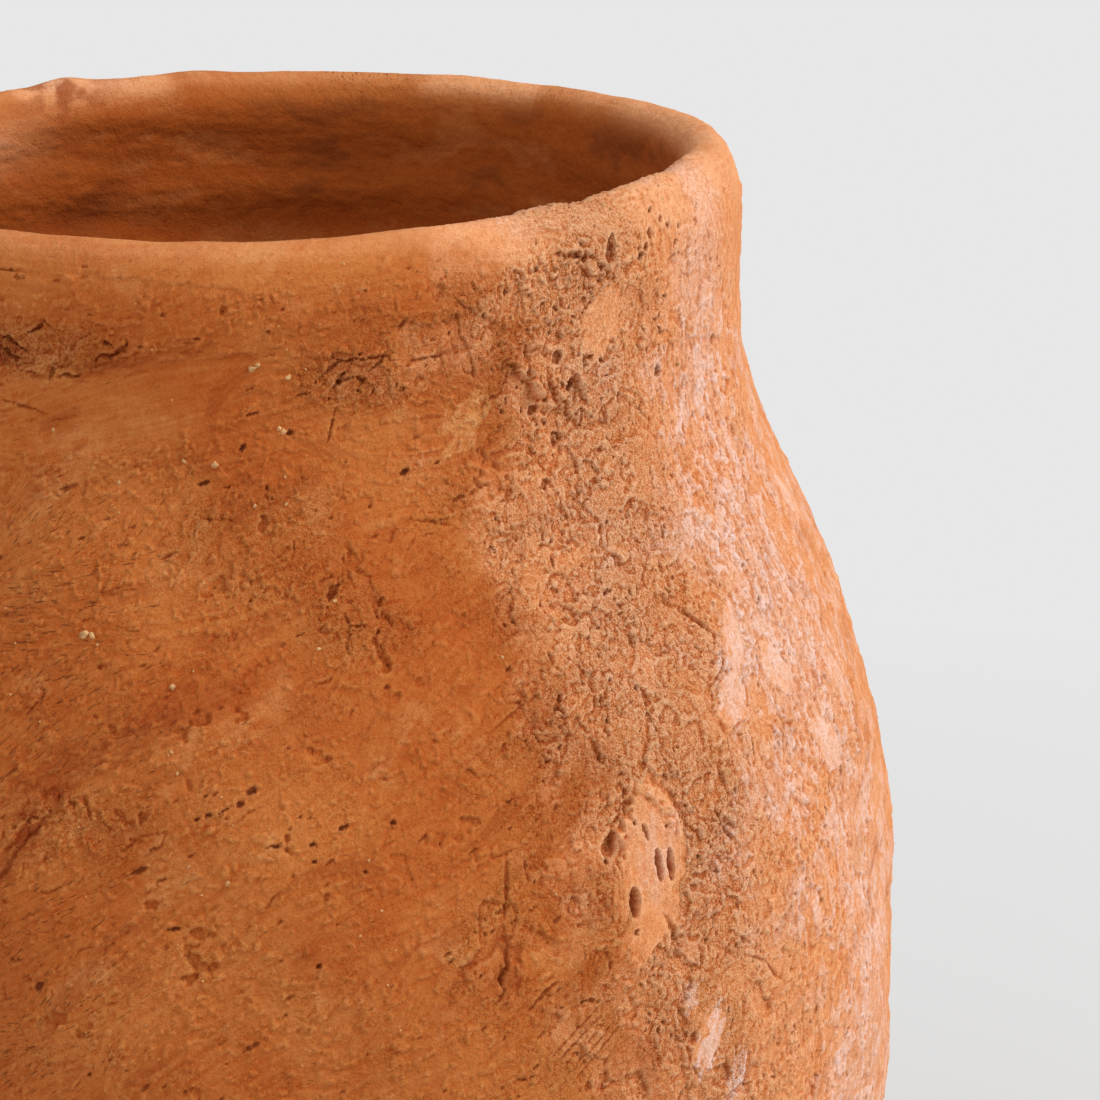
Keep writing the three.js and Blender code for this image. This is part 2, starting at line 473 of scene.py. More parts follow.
def beside(skin, line, reach):
    """The cells near a line of (angle, height) points, their distance to it, on which side of it
    they lie, how far along it they are from 0 to 1, and their distances across and up."""
    angles, heights = zip(*line)
    angle = (min(angles) + max(angles)) / 2
    height = (min(heights) + max(heights)) / 2
    radius = np.interp(skin.along_at(height), skin.along, skin.radius)
    corners = np.array([(math.radians(a - angle) * radius,
                         skin.along_at(h) - skin.along_at(height)) for a, h in line])
    area, across, up = skin.near(angle, height, np.abs(corners).max() + reach)
    distance = np.full(across.shape, 1e9, np.float32)
    side = np.zeros_like(distance)
    place = np.zeros_like(distance)
    lengths = np.hypot(*np.diff(corners, axis=0).T)
    done = 0.0
    for (ax, ay), (bx, by), length in zip(corners, corners[1:], lengths):
        dx, dy = (bx - ax) / length, (by - ay) / length
        t = np.clip((across - ax) * dx + (up - ay) * dy, 0, length)
        away = np.hypot(across - ax - t * dx, up - ay - t * dy)
        nearer = away < distance
        distance = np.where(nearer, away, distance)
        side = np.where(nearer, (up - ay) * dx - (across - ax) * dy, side)
        place = np.where(nearer, (done + t) / lengths.sum(), place)
        done += length
    return area, distance, side, place, across, up


def tapered(place):
    """1 along a line, falling to nearly 0 at its ends."""
    return np.sqrt(np.clip(np.sin(np.pi * np.clip(place, 0.015, 0.985)), 0, 1))


def crack(skin, rng, line, width, depth, stain=0.6, jag=0.25, lift=0.0):
    """A tear: a ragged groove that thins at its ends, whose left edge is lifted by lift."""
    line = roughened(line, rng, jag)
    area, distance, side, place, across, up = beside(skin, line, width * 3 + 2)
    taper = tapered(place)
    half = width / 2 * taper * np.clip(1 + 1.2 * ragged(across, up, 1.3, rng), 0.1, 2.4)
    groove = (1 - smoothstep(0.4, 1.15, distance / np.maximum(half, 0.07))) * taper
    raised = (side > 0) * taper * np.exp(-np.abs(side) / 1.1) * np.exp(-distance / 1.4)
    skin.relief[area] += lift * raised - depth * groove
    # painted shade, partly dark clay in the tear: the groove is darkened by stain
    darken(skin, area, 0.6 * stain * groove * groove)


def ridge(skin, rng, line, width, rise, jag=0.3):
    """A raised seam of clay along a line."""
    area, distance, side, place, across, up = beside(skin, roughened(line, rng, jag), width * 2)
    swell = np.clip(1 + 1.1 * ragged(across, up, 1.4, rng), 0.05, 2.2)
    away = distance / width * (1 + 0.5 * ragged(across, up, 0.8, rng))
    skin.relief[area] += rise * tapered(place) * swell * (1 - smoothstep(0.25, 1.0, away))


def scarp(skin, rng, line, drop, width=3.0, jag=0.3):
    """The edge of a smear of clay: a step up on the line's left that fades away from it."""
    area, distance, side, place, across, up = beside(skin, roughened(line, rng, jag), width * 2.5)
    edge = side + 0.5 * ragged(across, up, 0.9, rng)
    skin.relief[area] += drop * tapered(place) * smoothstep(-0.12, 0.2, edge) \
        * np.exp(-distance / width)


def smear(skin, rng, angle, height, length, width, tilt, bow=0.0, rise=0.0, wipe=0.9):
    """One drag of a wet finger: it wipes the grain flat and leaves fine lines along itself."""
    area, across, up = skin.near(angle, height, max(length, width) / 2 + 2)
    along, side = bent(across, up, tilt, bow, length)
    wobble = flat_noise(along, side, (7, 2.5), 6, 4, 0.62, rng.uniform(0, FAR_AWAY))
    away = oval(along, side, length, width) + 0.3 * wobble
    inside = 1 - smoothstep(0.82, 0.98, away)
    lines = flat_noise(along, side, (26, 0.8), 8, 3, 0.7, rng.uniform(0, FAR_AWAY))
    wet = rise + 0.05 * lines - 0.3 * rise * np.minimum(away, 1) ** 2
    skin.relief[area] += wipe * inside * (wet - skin.relief[area])
    skin.masks["dark"][area] *= 1 - wipe * inside
    skin.masks["gritty"][area] *= 1 - 0.8 * wipe * inside
    skin.tone[area] += inside * 0.12 * lines


# ---------------------------------------------------------------- how the clay lies
def spot(skin, angle, height, half_angle, half_height):
    """1 in the middle of an oval part of the wall, and 0 from one and a half times its size."""
    away = np.hypot(skin.aside(angle) / half_angle, (skin.heights - height) / half_height)
    return 1 - smoothstep(0.4, 1.5, away)


def photographed(skin):
    """1 on the side that the photograph shows, and 0 on the others."""
    return smoothstep(-50, -28, skin.angles) * (1 - smoothstep(92, 125, skin.angles))


def in_view(skin, here, elsewhere):
    """here on the side that the photograph shows, and elsewhere on the others."""
    shown = photographed(skin)
    return shown * here + (1 - shown) * elsewhere


# (how rough, angle, height, half its width in degrees, half its height)
TORN_SPOTS = ((0.85, -15, 282, 9, 5), (0.80, 17, 277, 6, 6), (0.50, 15, 240, 6, 9),
              (0.45, 25, 283, 13, 8), (0.45, 25, 188, 5, 14), (0.45, 8, 250, 9, 12),
              (0.40, -8, 210, 8, 8), (0.95, 46, 291, 16, 8))


def roughness_map(skin):
    """Where the clay is raw and torn (1) and where hands have smoothed it (0)."""
    wobble = 5 * noise(skin.points, 16, 20, 2)
    band = 0.10 + 0.86 * smoothstep(20, 42, skin.angles + wobble)
    band -= 0.22 * smoothstep(56, 70, skin.angles + wobble)
    band -= 0.30 * smoothstep(215, 175, skin.heights) * smoothstep(20, 50, skin.angles)
    torn = [peak * spot(skin, *where) for peak, *where in TORN_SPOTS]
    here = np.maximum.reduce([band, *torn])
    elsewhere = smoothstep(-0.15, 0.45, noise(skin.points, 60, 21, 3))
    return np.clip(in_view(skin, here, elsewhere), 0, 1)


def pale_map(skin, rough):
    """0 where the clay is smoothed and orange, 0.5 where raw, 1 where pale and pink; painted light at
    the right.
    """
    drift = noise(skin.points, 22, 22, 4, 0.6)
    # paler towards the right: partly the raw clay's colour, partly painted light and sheen where the
    # key lamp falls; the fall from 62 to 80 degrees is painted shade on the brightest edge
    turn = skin.angles - 7 * smoothstep(205, 165, skin.heights)
    right = 0.46 * smoothstep(22, 42, turn + 6 * drift) \
        + 0.29 * smoothstep(46, 62, turn + 10 * drift) - 0.22 * smoothstep(62, 80, turn)
    slow = noise(skin.points, 60, 23, 3, 0.5)
    elsewhere = 0.28 * smoothstep(0.15, 0.7, rough) + 0.22 * smoothstep(-0.2, 0.5, slow)
    wide = in_view(skin, right, elsewhere)
    return np.clip(wide + 0.06 * (rough - 0.3) + 0.05 * drift, 0, 1)


def tilt_at(height, rng):
    """How the potter's drags rise to the right: nearly level at the neck, steeper low down."""
    return 9 + 26 * float(smoothstep(275, 215, height)) + rng.normal(0, 8)


DRAGS = 999


def finger_drags(skin, rough):
    """Hundreds of overlapping drags, each a shallow trough with a raised edge.

    Also gives every cell its distances along and across the drag that last passed over it.
    """
    rng = np.random.default_rng(11)
    shape = skin.relief.shape
    trough = np.zeros(shape, np.float32)
    along_all, side_all = turned(np.radians(skin.angles) * BELLY_RADIUS, skin.heights, 28)
    which = np.zeros(shape, np.float32)
    for number in range(1, DRAGS + 1):
        angle = rng.uniform(0, 360)
        height = rng.uniform(2, 292)
        raw = float(rough[skin.cell(angle, height)])
        length = rng.uniform(26, 78) * (1 - 0.6 * raw)
        width = rng.uniform(6, 18) * (1 - 0.45 * raw)
        tilt = tilt_at(height, rng) + (rng.normal(30, 30) if raw > 0.5 else 0)
        bow = rng.normal(0, 0.12)
        depth = rng.uniform(0.02, 0.17)
        edge_rise = rng.uniform(0.0, 0.16)
        slice_at = rng.uniform(0, FAR_AWAY)
        area, across, up = skin.near(angle, height, length / 2 + 1)
        along, side = bent(across, up, tilt, bow, length)
        wander = flat_noise(along, side, (9, 3), 7, 2, 0.6, slice_at)
        across_edge = np.abs(side) / (width / 2) + 0.25 * wander
        ends = 1 - smoothstep(0.6, 1.0, np.abs(along) / (length / 2) + 0.2 * wander)
        inside = (1 - smoothstep(0.85, 1.0, across_edge)) * ends
        trough[area] = trough[area] * (1 - 0.85 * inside) \
            - depth * (1 - np.minimum(across_edge, 1) ** 2) * inside \
            + edge_rise * bell((across_edge - 1.0) / 0.09) * ends
        held = inside > 0.4
        along_all[area] = np.where(held, along, along_all[area])
        side_all[area] = np.where(held, side, side_all[area])
        which[area] = np.where(held, number * 7.31, which[area])
    return trough, np.stack([along_all, side_all, which])


def plate(points, size, seed, least, ragged_edge, slope=0.016):
    """1 on flat plates of torn clay, where a slow noise passes least, with ragged, steep edges."""
    field = noise(points, size, seed, 3, 0.45) + 0.05 * ragged_edge
    return smoothstep(least - slope, least + slope, field)


# (size, seed, the level that the noise has to pass, how high the plate stands)
FLAT_PLATES = (((14, 14, 18), 31, 0.02, 0.46), ((10, 10, 13), 56, 0.10, 0.40),
               ((6.5, 6.5, 8), 48, 0.13, 0.34))
UPRIGHT_PLATES = (((8, 8, 22), 32, 0.05, 0.34), ((4, 4, 12), 57, 0.16, 0.26))


class RawClay:
    """Clay that hands didn't smooth: it breaks in flat plates, with crumbs, torn seams and holes.

    far_right is 1 where the plates stand upright and pale flecks take the place of crumbs.
    """

    def __init__(self, skin, rough):
        self.points = skin.points
        shown = photographed(skin)
        self.ragged_edge = noise(self.points, 1.5, 33, 2, 0.6)
        self.far_right = smoothstep(44, 58, skin.angles) * shown
        self.far_right += (1 - shown) * smoothstep(0.0, 0.25, noise(self.points, 55, 67, 2))
        self.torn = smoothstep(-0.12, 0.22, noise(self.points, 11, 55, 3))
        self.scab = plate(self.points, (3.6, 3.6, 4.6), 58, 0.20, self.ragged_edge)
        self.crumbs = noise(self.points, (1.5, 1.5, 1.9), 47, 2, 0.6)
        self.crumb = self._crumb(rough)
        self.crowded = noise(self.points, 8, 35, 3)
        holes = noise(self.points, (0.85, 0.85, 1.2), 34, 1)
        self.deep = smoothstep(0.60, 0.66, holes + 0.18 * self.crowded + 0.05 * self.far_right)
        self.fleck = self._fleck(skin.heights)

    def _crumb(self, rough):
        specks = noise(self.points, (0.9, 0.9, 1.1), 66)
        fallen = smoothstep(-0.05, 0.2, noise(self.points, 17, 59, 3)) * smoothstep(0.15, 0.5, rough)
        crumb = smoothstep(0.47, 0.52, self.crumbs + 0.08 * fallen) \
            + 0.7 * smoothstep(0.46, 0.54, specks)
        share = np.maximum(0.6 * self.torn, fallen)
        return np.minimum(crumb, 1) * share * (1 - 0.45 * self.far_right)

    def _fleck(self, heights):
        lower = 1 - smoothstep(272, 284, heights)
        fleck = 0.8 * plate(self.points, (2.4, 2.4, 4.4), 50, 0.26, self.ragged_edge, 0.04) \
            + plate(self.points, (4.4, 4.4, 9), 60, 0.24, self.ragged_edge, 0.03)
        return np.minimum(fleck, 1) * self.far_right * self.far_right * lower

    def _plates(self, kinds):
        return sum(rise * plate(self.points, size, seed, least, self.ragged_edge)
                   for size, seed, least, rise in kinds)

    def relief(self):
        plates = self._plates(FLAT_PLATES)
        upright = self._plates(UPRIGHT_PLATES)
        upright += 0.07 * noise(self.points, (1.3, 1.3, 7), 65, 2)
        plates += (upright + 0.30 - plates) * self.far_right
        seams = np.abs(noise(self.points, (9, 9, 12), 49, 3, 0.5) + 0.08 * self.ragged_edge)
        torn_seam = smoothstep(0.045, 0.015, seams) * self.torn
        return plates + 0.26 * self.scab + 0.12 * torn_seam + 0.50 * self.crumb \
            + (0.05 + 0.05 * self.torn) * self.ragged_edge + 0.16 * self.fleck \
            - 0.65 * self.deep - 0.45

    def under_cover(self):
        """What still shows of the raw clay where smeared clay covers it."""
        return 0.46 * self.crumb + 0.18 * self.scab + 0.05 * self.ragged_edge \
            + 0.2 * self.fleck - 0.4 * self.deep


def smeared_relief(points, trough, lines, crumbs):
    """Smeared clay: fine lines along each drag over low blobs."""
    blobs = noise(points, 2.3, 38, 3, 0.6)
    drops = noise(points, (1.7, 1.7, 1.4), 45, 2, 0.6)
    worn_through = smoothstep(0.05, 0.35, noise(points, 9, 61, 3))
    return trough + 0.06 * lines + 0.10 * blobs + 0.22 * smoothstep(0.32, 0.5, drops) \
        + 0.26 * worn_through * smoothstep(0.46, 0.52, crumbs)


def lay_clay(skin, rough):
    """The whole outside: raw, crumbly clay, and the smeared clay that covers most of it."""
    trough, skin.drag_frame = finger_drags(skin, rough)
    raw = RawClay(skin, rough)
    lines = noise(skin.drag_frame, (30, 0.9, 1), 36, 3, 0.7)
    smeared = smeared_relief(skin.points, trough, lines, raw.crumbs)
    cover_edge = noise(skin.points, 8.0, 39, 4, 0.5)
    cover = smoothstep(-0.03, 0.03, 0.48 - 0.80 * rough + 0.60 * cover_edge)
    # the grain is weaker where the photograph sees the wall edge on
    edge_on = smoothstep(67, 79, skin.angles) * photographed(skin)
    bare = raw.relief() * (1 - cover) * (0.5 + 0.5 * rough) * (1 - 0.3 * edge_on)
    skin.relief = bare - 0.2 + (smeared + 0.34 + rough * raw.under_cover()) * cover
    skin.relief += 0.8 * edge_on * (blurred(skin.relief, 4) - skin.relief)
    colour_clay(skin, rough, raw, cover, lines)


def colour_clay(skin, rough, raw, cover, lines):
    """The masks and the tone that the clay's material reads."""
    points = skin.points
    shown = photographed(skin)
    bare = (1 - cover) * smoothstep(0.1, 0.4, rough) * (1 - raw.far_right)
    # the flecks are painted paler: partly pale plaster, partly painted highlight where raised bits
    # catch the key lamp
    pale = pale_map(skin, rough) + 0.10 * (bare - 0.4) * shown \
        + (0.10 + 0.14 * shown) * raw.fleck
    skin.masks["pale"] = np.clip(pale, 0, 1)
    # painted shade in the raw clay's deep holes
    skin.masks["dark"] = 0.30 * raw.deep * (0.4 + 0.6 * rough)
    skin.tone = 0.14 * noise(points, 10, 41, 4, 0.6) + 0.14 * lines * cover \
        + 0.06 * raw.ragged_edge * rough
    streaks = noise(skin.drag_frame, (24, 5, 1), 42, 4, 0.62)
    skin.masks["red"] = 0.45 * smoothstep(0.30, 0.8, streaks) * (1 - 0.7 * rough)
    skin.masks["beige"] = 0.35 * smoothstep(0.34, 0.7, noise(points, 13, 43, 4, 0.6)) * cover
    left = 1 - smoothstep(-8, 4, skin.angles)
    below_neck = 1 - smoothstep(255, 270, skin.heights)
    here = 0.45 + 0.55 * left * below_neck
    elsewhere = smoothstep(-0.1, 0.4, noise(points, 45, 46, 2))
    skin.masks["straw"] = in_view(skin, here, elsewhere) * cover * (1 - 0.6 * rough)
    gritty = (rough + 0.3 * raw.crowded) * (1 - 0.7 * raw.far_right)
    skin.masks["gritty"] = np.clip(gritty, 0.1, 1)


# low lumps that the potter's thumb left on the lip's crest: (angle, half its width in degrees, rise)
LIP_LUMPS = ((-155, 3.2, 1.2), (-172, 5.5, 0.5), (24, 6, 0.35),
             (-120, 6, 0.6), (-75, 5, 0.5), (152, 6, 0.4))
LIP_RED_AT = -154


def roll_lip(skin):
    """The lip is run smooth by wet fingers: level lines round it, with few grains showing."""
    from_crest = skin.along[:, None] - skin.crest_at
    run = smoothstep(-12, -6, from_crest) * (1 - smoothstep(6, 11, from_crest))
    worn = smoothstep(30, 46, skin.angles) * (1 - smoothstep(88, 120, skin.angles))
    lines = noise(skin.points, (14, 14, 1.0), 51, 3, 0.65)
    waves = noise(skin.points, (13, 13, 9), 52, 2)
    keep = 1 - run * (0.82 - 0.38 * worn)
    skin.relief *= keep
    skin.relief += run * (0.05 * lines + 0.24 * waves - 0.10)
    skin.masks["dark"] *= keep
    skin.masks["red"] *= 1 - 0.8 * run
    skin.masks["gritty"] *= 1 - 0.8 * run * (1 - worn)
    skin.tone += run * (0.12 * lines + 0.20)
    # painted highlight: the lip's crest is paler along its top
    crest = smoothstep(-7, -3, from_crest) * (1 - smoothstep(3, 8, from_crest)) * (1 - worn)
    skin.masks["pale"] = np.clip(skin.masks["pale"] + 0.18 * crest, 0, 1)
    for angle, half_width, rise in LIP_LUMPS:
        skin.relief += rise * bell(skin.aside(angle) / half_width) * bell((from_crest + 1) / 5)
    # a smear of red clay over the lump at the back
    blot = bell(skin.aside(LIP_RED_AT) / 6) * smoothstep(-8, -2, from_crest) \
        * (1 - smoothstep(5, 13, from_crest))
    skin.lip_red = 0.8 * blot * smoothstep(-0.35, 0.25, noise(skin.points, 5, 53, 3))


INSIDE_PAINTED_LIGHT_AT = -141
INSIDE_GOUGE_AT = -158
INSIDE_GOUGE_HEIGHT = 276
BAND_PITCH = 12.5


def line_inside(skin):
    """Inside, wide level bands show where fingers raised the wall."""
    inside = smoothstep(3, 12, skin.along[:, None] - skin.crest_at)
    p = skin.points
    bands = np.sin(p[2] / BAND_PITCH * 2 * np.pi + 2.6 * noise(p, (60, 60, 30), 61))
    level = noise(p, (42, 42, 4.5), 62, 4, 0.62)
    blots = noise(p, (22, 22, 13), 63, 4, 0.6)
    grain = noise(p, 2.4, 64, 3, 0.6)
    plain = 0.34 * bands + 0.08 * level + 0.45 * blots + 0.03 * grain
    skin.relief = skin.relief * (1 - inside) + inside * plain
    skin.tone = skin.tone * (1 - inside) + inside * (0.02 * level + 0.20 * blots)
    for name in ("pale", "red", "beige", "dark", "straw", "gritty"):
        skin.masks[name] *= 1 - inside
    skin.masks["dark"] += inside * 0.5 * smoothstep(0.15, 0.6, blots)
    skin.masks["beige"] += inside * 0.3 * smoothstep(0.25, 0.6, -blots)
    skin.masks["red"] = np.maximum(skin.masks["red"], skin.lip_red)
    # painted light: paler places under the lip and low at the back; and a gouge beside the first
    patch = np.exp(-skin.aside(INSIDE_PAINTED_LIGHT_AT) ** 2 / 120 - ((skin.heights - 291) / 8) ** 2)
    low_back_painted_light = smoothstep(36, 12, np.abs((skin.angles % 360) - 182)) \
        * smoothstep(268, 262, skin.heights) \
        * (0.8 + 0.5 * blots) * smoothstep(215, 240, skin.heights)
    patch = np.clip(patch + 0.55 * low_back_painted_light, 0, 1)
    skin.masks["inner"] = (inside * (1 - 0.75 * patch)).astype(np.float32)
    skin.masks["pale"] += inside * 0.7 * patch
    aside = skin.aside(INSIDE_GOUGE_AT)
    slant = skin.heights - INSIDE_GOUGE_HEIGHT + 0.7 * aside
    gouge = np.exp(-(aside / 5) ** 2 - (slant / 4) ** 2) * inside
    skin.relief -= 1.0 * gouge
    skin.masks["dark"] = np.clip(skin.masks["dark"] + 0.5 * gouge, 0, 1)


# this share of the random marks is drawn for the finely cut side, and the rest fall anywhere
SHARE_IN_VIEW = 0.45
SCATTERED_PITS = 1500
SCATTERED_LUMPS = 1600
SCATTERED_CRACKS = 420


def scatter(skin, rough):
    """Random marks: dark mineral specks in pits with painted shade, crumbs, short cracks and lifted
    edges.
    """
    rng = np.random.default_rng(13)

    def place(low=6, high=296):
        shown = rng.uniform() < SHARE_IN_VIEW
        angle = rng.uniform(*FINE_ANGLES) if shown else rng.uniform(0, 360)
        height = rng.uniform(low, high)
        return angle, height, float(rough[skin.cell(angle, height)])

    for _ in range(SCATTERED_PITS):
        angle, height, raw = place()
        size = 0.36 + rng.exponential(0.15)
        pit(skin, rng, angle, height, size * rng.uniform(1.3, 4), size,
            tilt_at(height, rng) + 60 * (raw > 0.5), rng.uniform(0.12, 0.4),
            stain=rng.uniform(0.0, 0.6))
    for _ in range(SCATTERED_LUMPS):
        angle, height, _ = place()
        size = rng.uniform(0.6, 2.2)
        lump(skin, rng, angle, height, size * rng.uniform(1, 2), size, rng.uniform(0, 180),
             rng.uniform(0.08, 0.30))
    for _ in range(SCATTERED_CRACKS):
        angle, height, raw = place(14, 290)
        if rng.uniform() > 0.35 + raw:
            continue
        tilt = math.radians(tilt_at(height, rng) + rng.normal(0, 25 + 50 * raw))
        reach = rng.uniform(1.0, 4.0)
        spread = math.degrees(reach / 110)
        line = [(angle - spread * math.cos(tilt), height - reach * math.sin(tilt)),
                (angle, height + rng.normal(0, 0.8)),
                (angle + spread * math.cos(tilt), height + reach * math.sin(tilt))]
        crack(skin, rng, line, rng.uniform(0.25, 0.6), rng.uniform(0.12, 0.4),
              stain=rng.uniform(0.1, 0.45), jag=0.4, lift=rng.uniform(0, 0.3))


def mark_lip_seam(skin, rng):
    """The seam under the rolled lip."""
    crack(skin, rng, [(-21, 294.4), (-17.5, 294.6), (-15.5, 294.5)], 0.5, 0.4, 0.8, jag=0.15)
    scarp(skin, rng, [(-16, 294.5), (-9, 294.9), (-2, 294.4), (5, 293.2), (12, 291.6)], 0.24, 4)


def mark_torn_left(skin, rng):
    """The torn place at the left, with its red stain, and the ledge below it."""
    for line in ([(-19, 284.2), (-16.7, 282.9), (-15.2, 281.2)],
                 [(-18.6, 282.6), (-17.2, 280.8), (-16, 280.2)],
                 [(-15.5, 284.8), (-14.1, 285.9), (-12.8, 286.1)],
                 [(-8.4, 281.1), (-6.9, 281.8), (-5.6, 282.9), (-5.3, 285.6)],
                 [(-12.6, 277.4), (-11.6, 278.1), (-10.8, 277.7), (-9.2, 278.2)],
                 [(-7.6, 284.4), (-6.6, 283.6)]):
        crack(skin, rng, line, 0.85, 0.75, 0.5, jag=0.4, lift=0.4)
    stain(skin, rng, "red", -18.2, 281.2, 11, 6, 10, 0.8)
    stain(skin, rng, "red", -6.5, 280.6, 16, 5, 12, 0.5)


def mark_long_smear(skin, rng):
    """The long smear that sweeps up to the right under it."""
    scarp(skin, rng, [(-9.5, 279.8), (-4.5, 282.4), (0.5, 283.6), (4.2, 284.7)], 0.34, 4.5, jag=0.1)
    smear(skin, rng, -3.5, 277.2, 50, 9, 13, bow=-0.05, rise=-0.25)
    smear(skin, rng, -5, 270.5, 56, 10, 15, bow=0.06, rise=-0.12)
    crack(skin, rng, [(-18.6, 273.4), (-16.3, 272.2), (-13.5, 271.0)], 0.75, 0.45, 0.5, jag=0.1)
    crack(skin, rng, [(-16.6, 269.8), (-13.4, 269.7), (-10.4, 271.2)], 0.3, 0.2, 0.55, jag=0.1)


def mark_red_streaks(skin, rng):
    """Red and dark streaks low at the left."""
    crack(skin, rng, [(-15.5, 199), (-13.6, 203.4), (-12.2, 207.6), (-10.4, 212.4)], 0.9, 0.4, 0.6)
    stain(skin, rng, "red", -13.4, 205, 26, 5.5, 57, 0.7)
    stain(skin, rng, "red", -9.5, 218.5, 22, 8, 36, 0.5)
    stain(skin, rng, "red", 2.2, 229.5, 26, 7, 24, 0.5)
    stain(skin, rng, "red", -2.5, 224.5, 14, 6, 30, 0.45)


def mark_leaf_print(skin, rng):
    """A leaf-shaped print and a train of dark crumbs beside it."""
    crack(skin, rng, [(-4.8, 206.8), (-3.0, 209.6), (-0.8, 210.6)], 0.55, 0.3, 0.6)
    crack(skin, rng, [(-0.8, 210.6), (-1.3, 208.2), (-3.2, 206.2)], 0.5, 0.3, 0.5)
    pit(skin, rng, -3.0, 204.4, 3.4, 1.1, 28, 0.35, 0.7)
    for angle, height, length, width in ((5.8, 216.4, 2.3, 1.2), (4.9, 214.4, 1.6, 1.0),
                                         (3.6, 213.6, 2.6, 0.4), (2.4, 213.0, 1.5, 0.6),
                                         (1.5, 212.3, 1.2, 0.5)):
        pit(skin, rng, angle, height, length, width, 32, 0.4, 0.9)


def mark_dark_grains(skin, rng):
    """Dark grains and burnt-out straws."""
    for angle, height, length, width, tilt in (
            (21.7, 261.2, 1.9, 1.1, 50), (10.4, 208.0, 1.1, 0.8, 0), (10.5, 205.5, 0.8, 0.6, 0),
            (12.9, 210.2, 2.1, 0.8, 20), (16.9, 210.3, 1.3, 0.8, 30), (10.5, 189.5, 0.9, 0.7, 0),
            (-0.3, 195.5, 2.3, 0.7, 10), (-10.6, 186.4, 1.7, 1.3, 80), (-6.8, 172.5, 0.9, 0.6, 0),
            (7.6, 208.1, 1.5, 0.6, 0), (14.4, 203.4, 0.9, 0.6, 0), (25.0, 262.0, 0.8, 0.6, 0),
            (10.6, 268.4, 1.3, 0.9, 30), (5.9, 266.2, 1.4, 1.0, 60), (2.0, 260.6, 2.4, 0.8, 15)):
        pit(skin, rng, angle, height, length, width, tilt, 0.45, 1.0)


def mark_torn_middle(skin, rng):
    """The torn patch right of the middle."""
    for line in ([(14.4, 281.8), (16.1, 280.2), (18.7, 280.8), (21.6, 279.8)],
                 [(13.6, 277.7), (14.9, 279.5), (16.4, 280.4)],
                 [(14.8, 275.4), (15.6, 277.5), (16.6, 279.1)],
                 [(18.4, 278.2), (19.7, 279.7), (20.6, 281.6)],
                 [(15.2, 276.2), (17.0, 277.6), (18.2, 276.6), (17.2, 275.2)],
                 [(13.9, 266.0), (14.6, 269.0), (15.2, 272.4)],
                 [(22.6, 279.4), (24.8, 279.7), (26.6, 280.6)]):
        crack(skin, rng, line, 0.7, 0.5, 0.22, jag=0.4, lift=0.4)


def mark_angled_tear(skin, rng):
    """Cracks and a pit with an angled tear under it."""
    crack(skin, rng, [(20.6, 253.4), (22.7, 253.6), (24.6, 252.9), (26.4, 252.1)],
          0.5, 0.35, 0.5, lift=0.2)
    crack(skin, rng, [(22.0, 251.2), (24.6, 251.6)], 0.4, 0.25, 0.4)
    pit(skin, rng, 13.6, 244.3, 3.0, 1.6, 60, 0.6, 0.5)
    crack(skin, rng, [(14.4, 241.4), (14.9, 239.2), (16.6, 239.2)], 0.7, 0.5, 0.45, jag=0.3)
    crack(skin, rng, [(15.0, 238.8), (14.4, 236.0), (14.9, 233.6)], 0.45, 0.3, 0.35)
    crack(skin, rng, [(25.7, 222.0), (28.1, 224.6), (30.8, 226.8)], 0.55, 0.35, 0.25, jag=0.06)


def mark_torn_lump(skin, rng):
    """The lump with torn ridges above the beige patch."""
    stain(skin, rng, "beige", 28.8, 268.2, 12, 7, 50, 0.9)
    for line, width, rise in (
            ([(33.6, 279.4), (34.6, 277.0), (36.6, 273.2), (38.2, 268.8), (37.2, 264.6)], 1.5, 1.1),
            ([(35.4, 279.8), (37.4, 279.2), (39.6, 277.4)], 1.4, 0.7),
            ([(39.2, 274.4), (40.0, 269.4), (41.6, 265.6)], 1.6, 0.9),
            ([(41.6, 274.8), (42.4, 271.0), (43.4, 268.0)], 1.2, 0.6),
            ([(31.4, 260.2), (33.6, 261.4), (35.8, 259.8)], 1.3, 0.4),
            ([(33.4, 257.0), (34.8, 254.8), (34.6, 252.2)], 1.4, 0.4)):
        ridge(skin, rng, line, width, rise)
    for angle, height, size in ((39.6, 276.0, 2.2), (40.9, 271.4, 1.8), (36.4, 268.2, 1.6),
                                (43.2, 275.2, 1.6), (39.0, 263.2, 1.9), (36.6, 256.4, 1.7)):
        pit(skin, rng, angle, height, size * 1.4, size, 60, 0.7, 0.35)


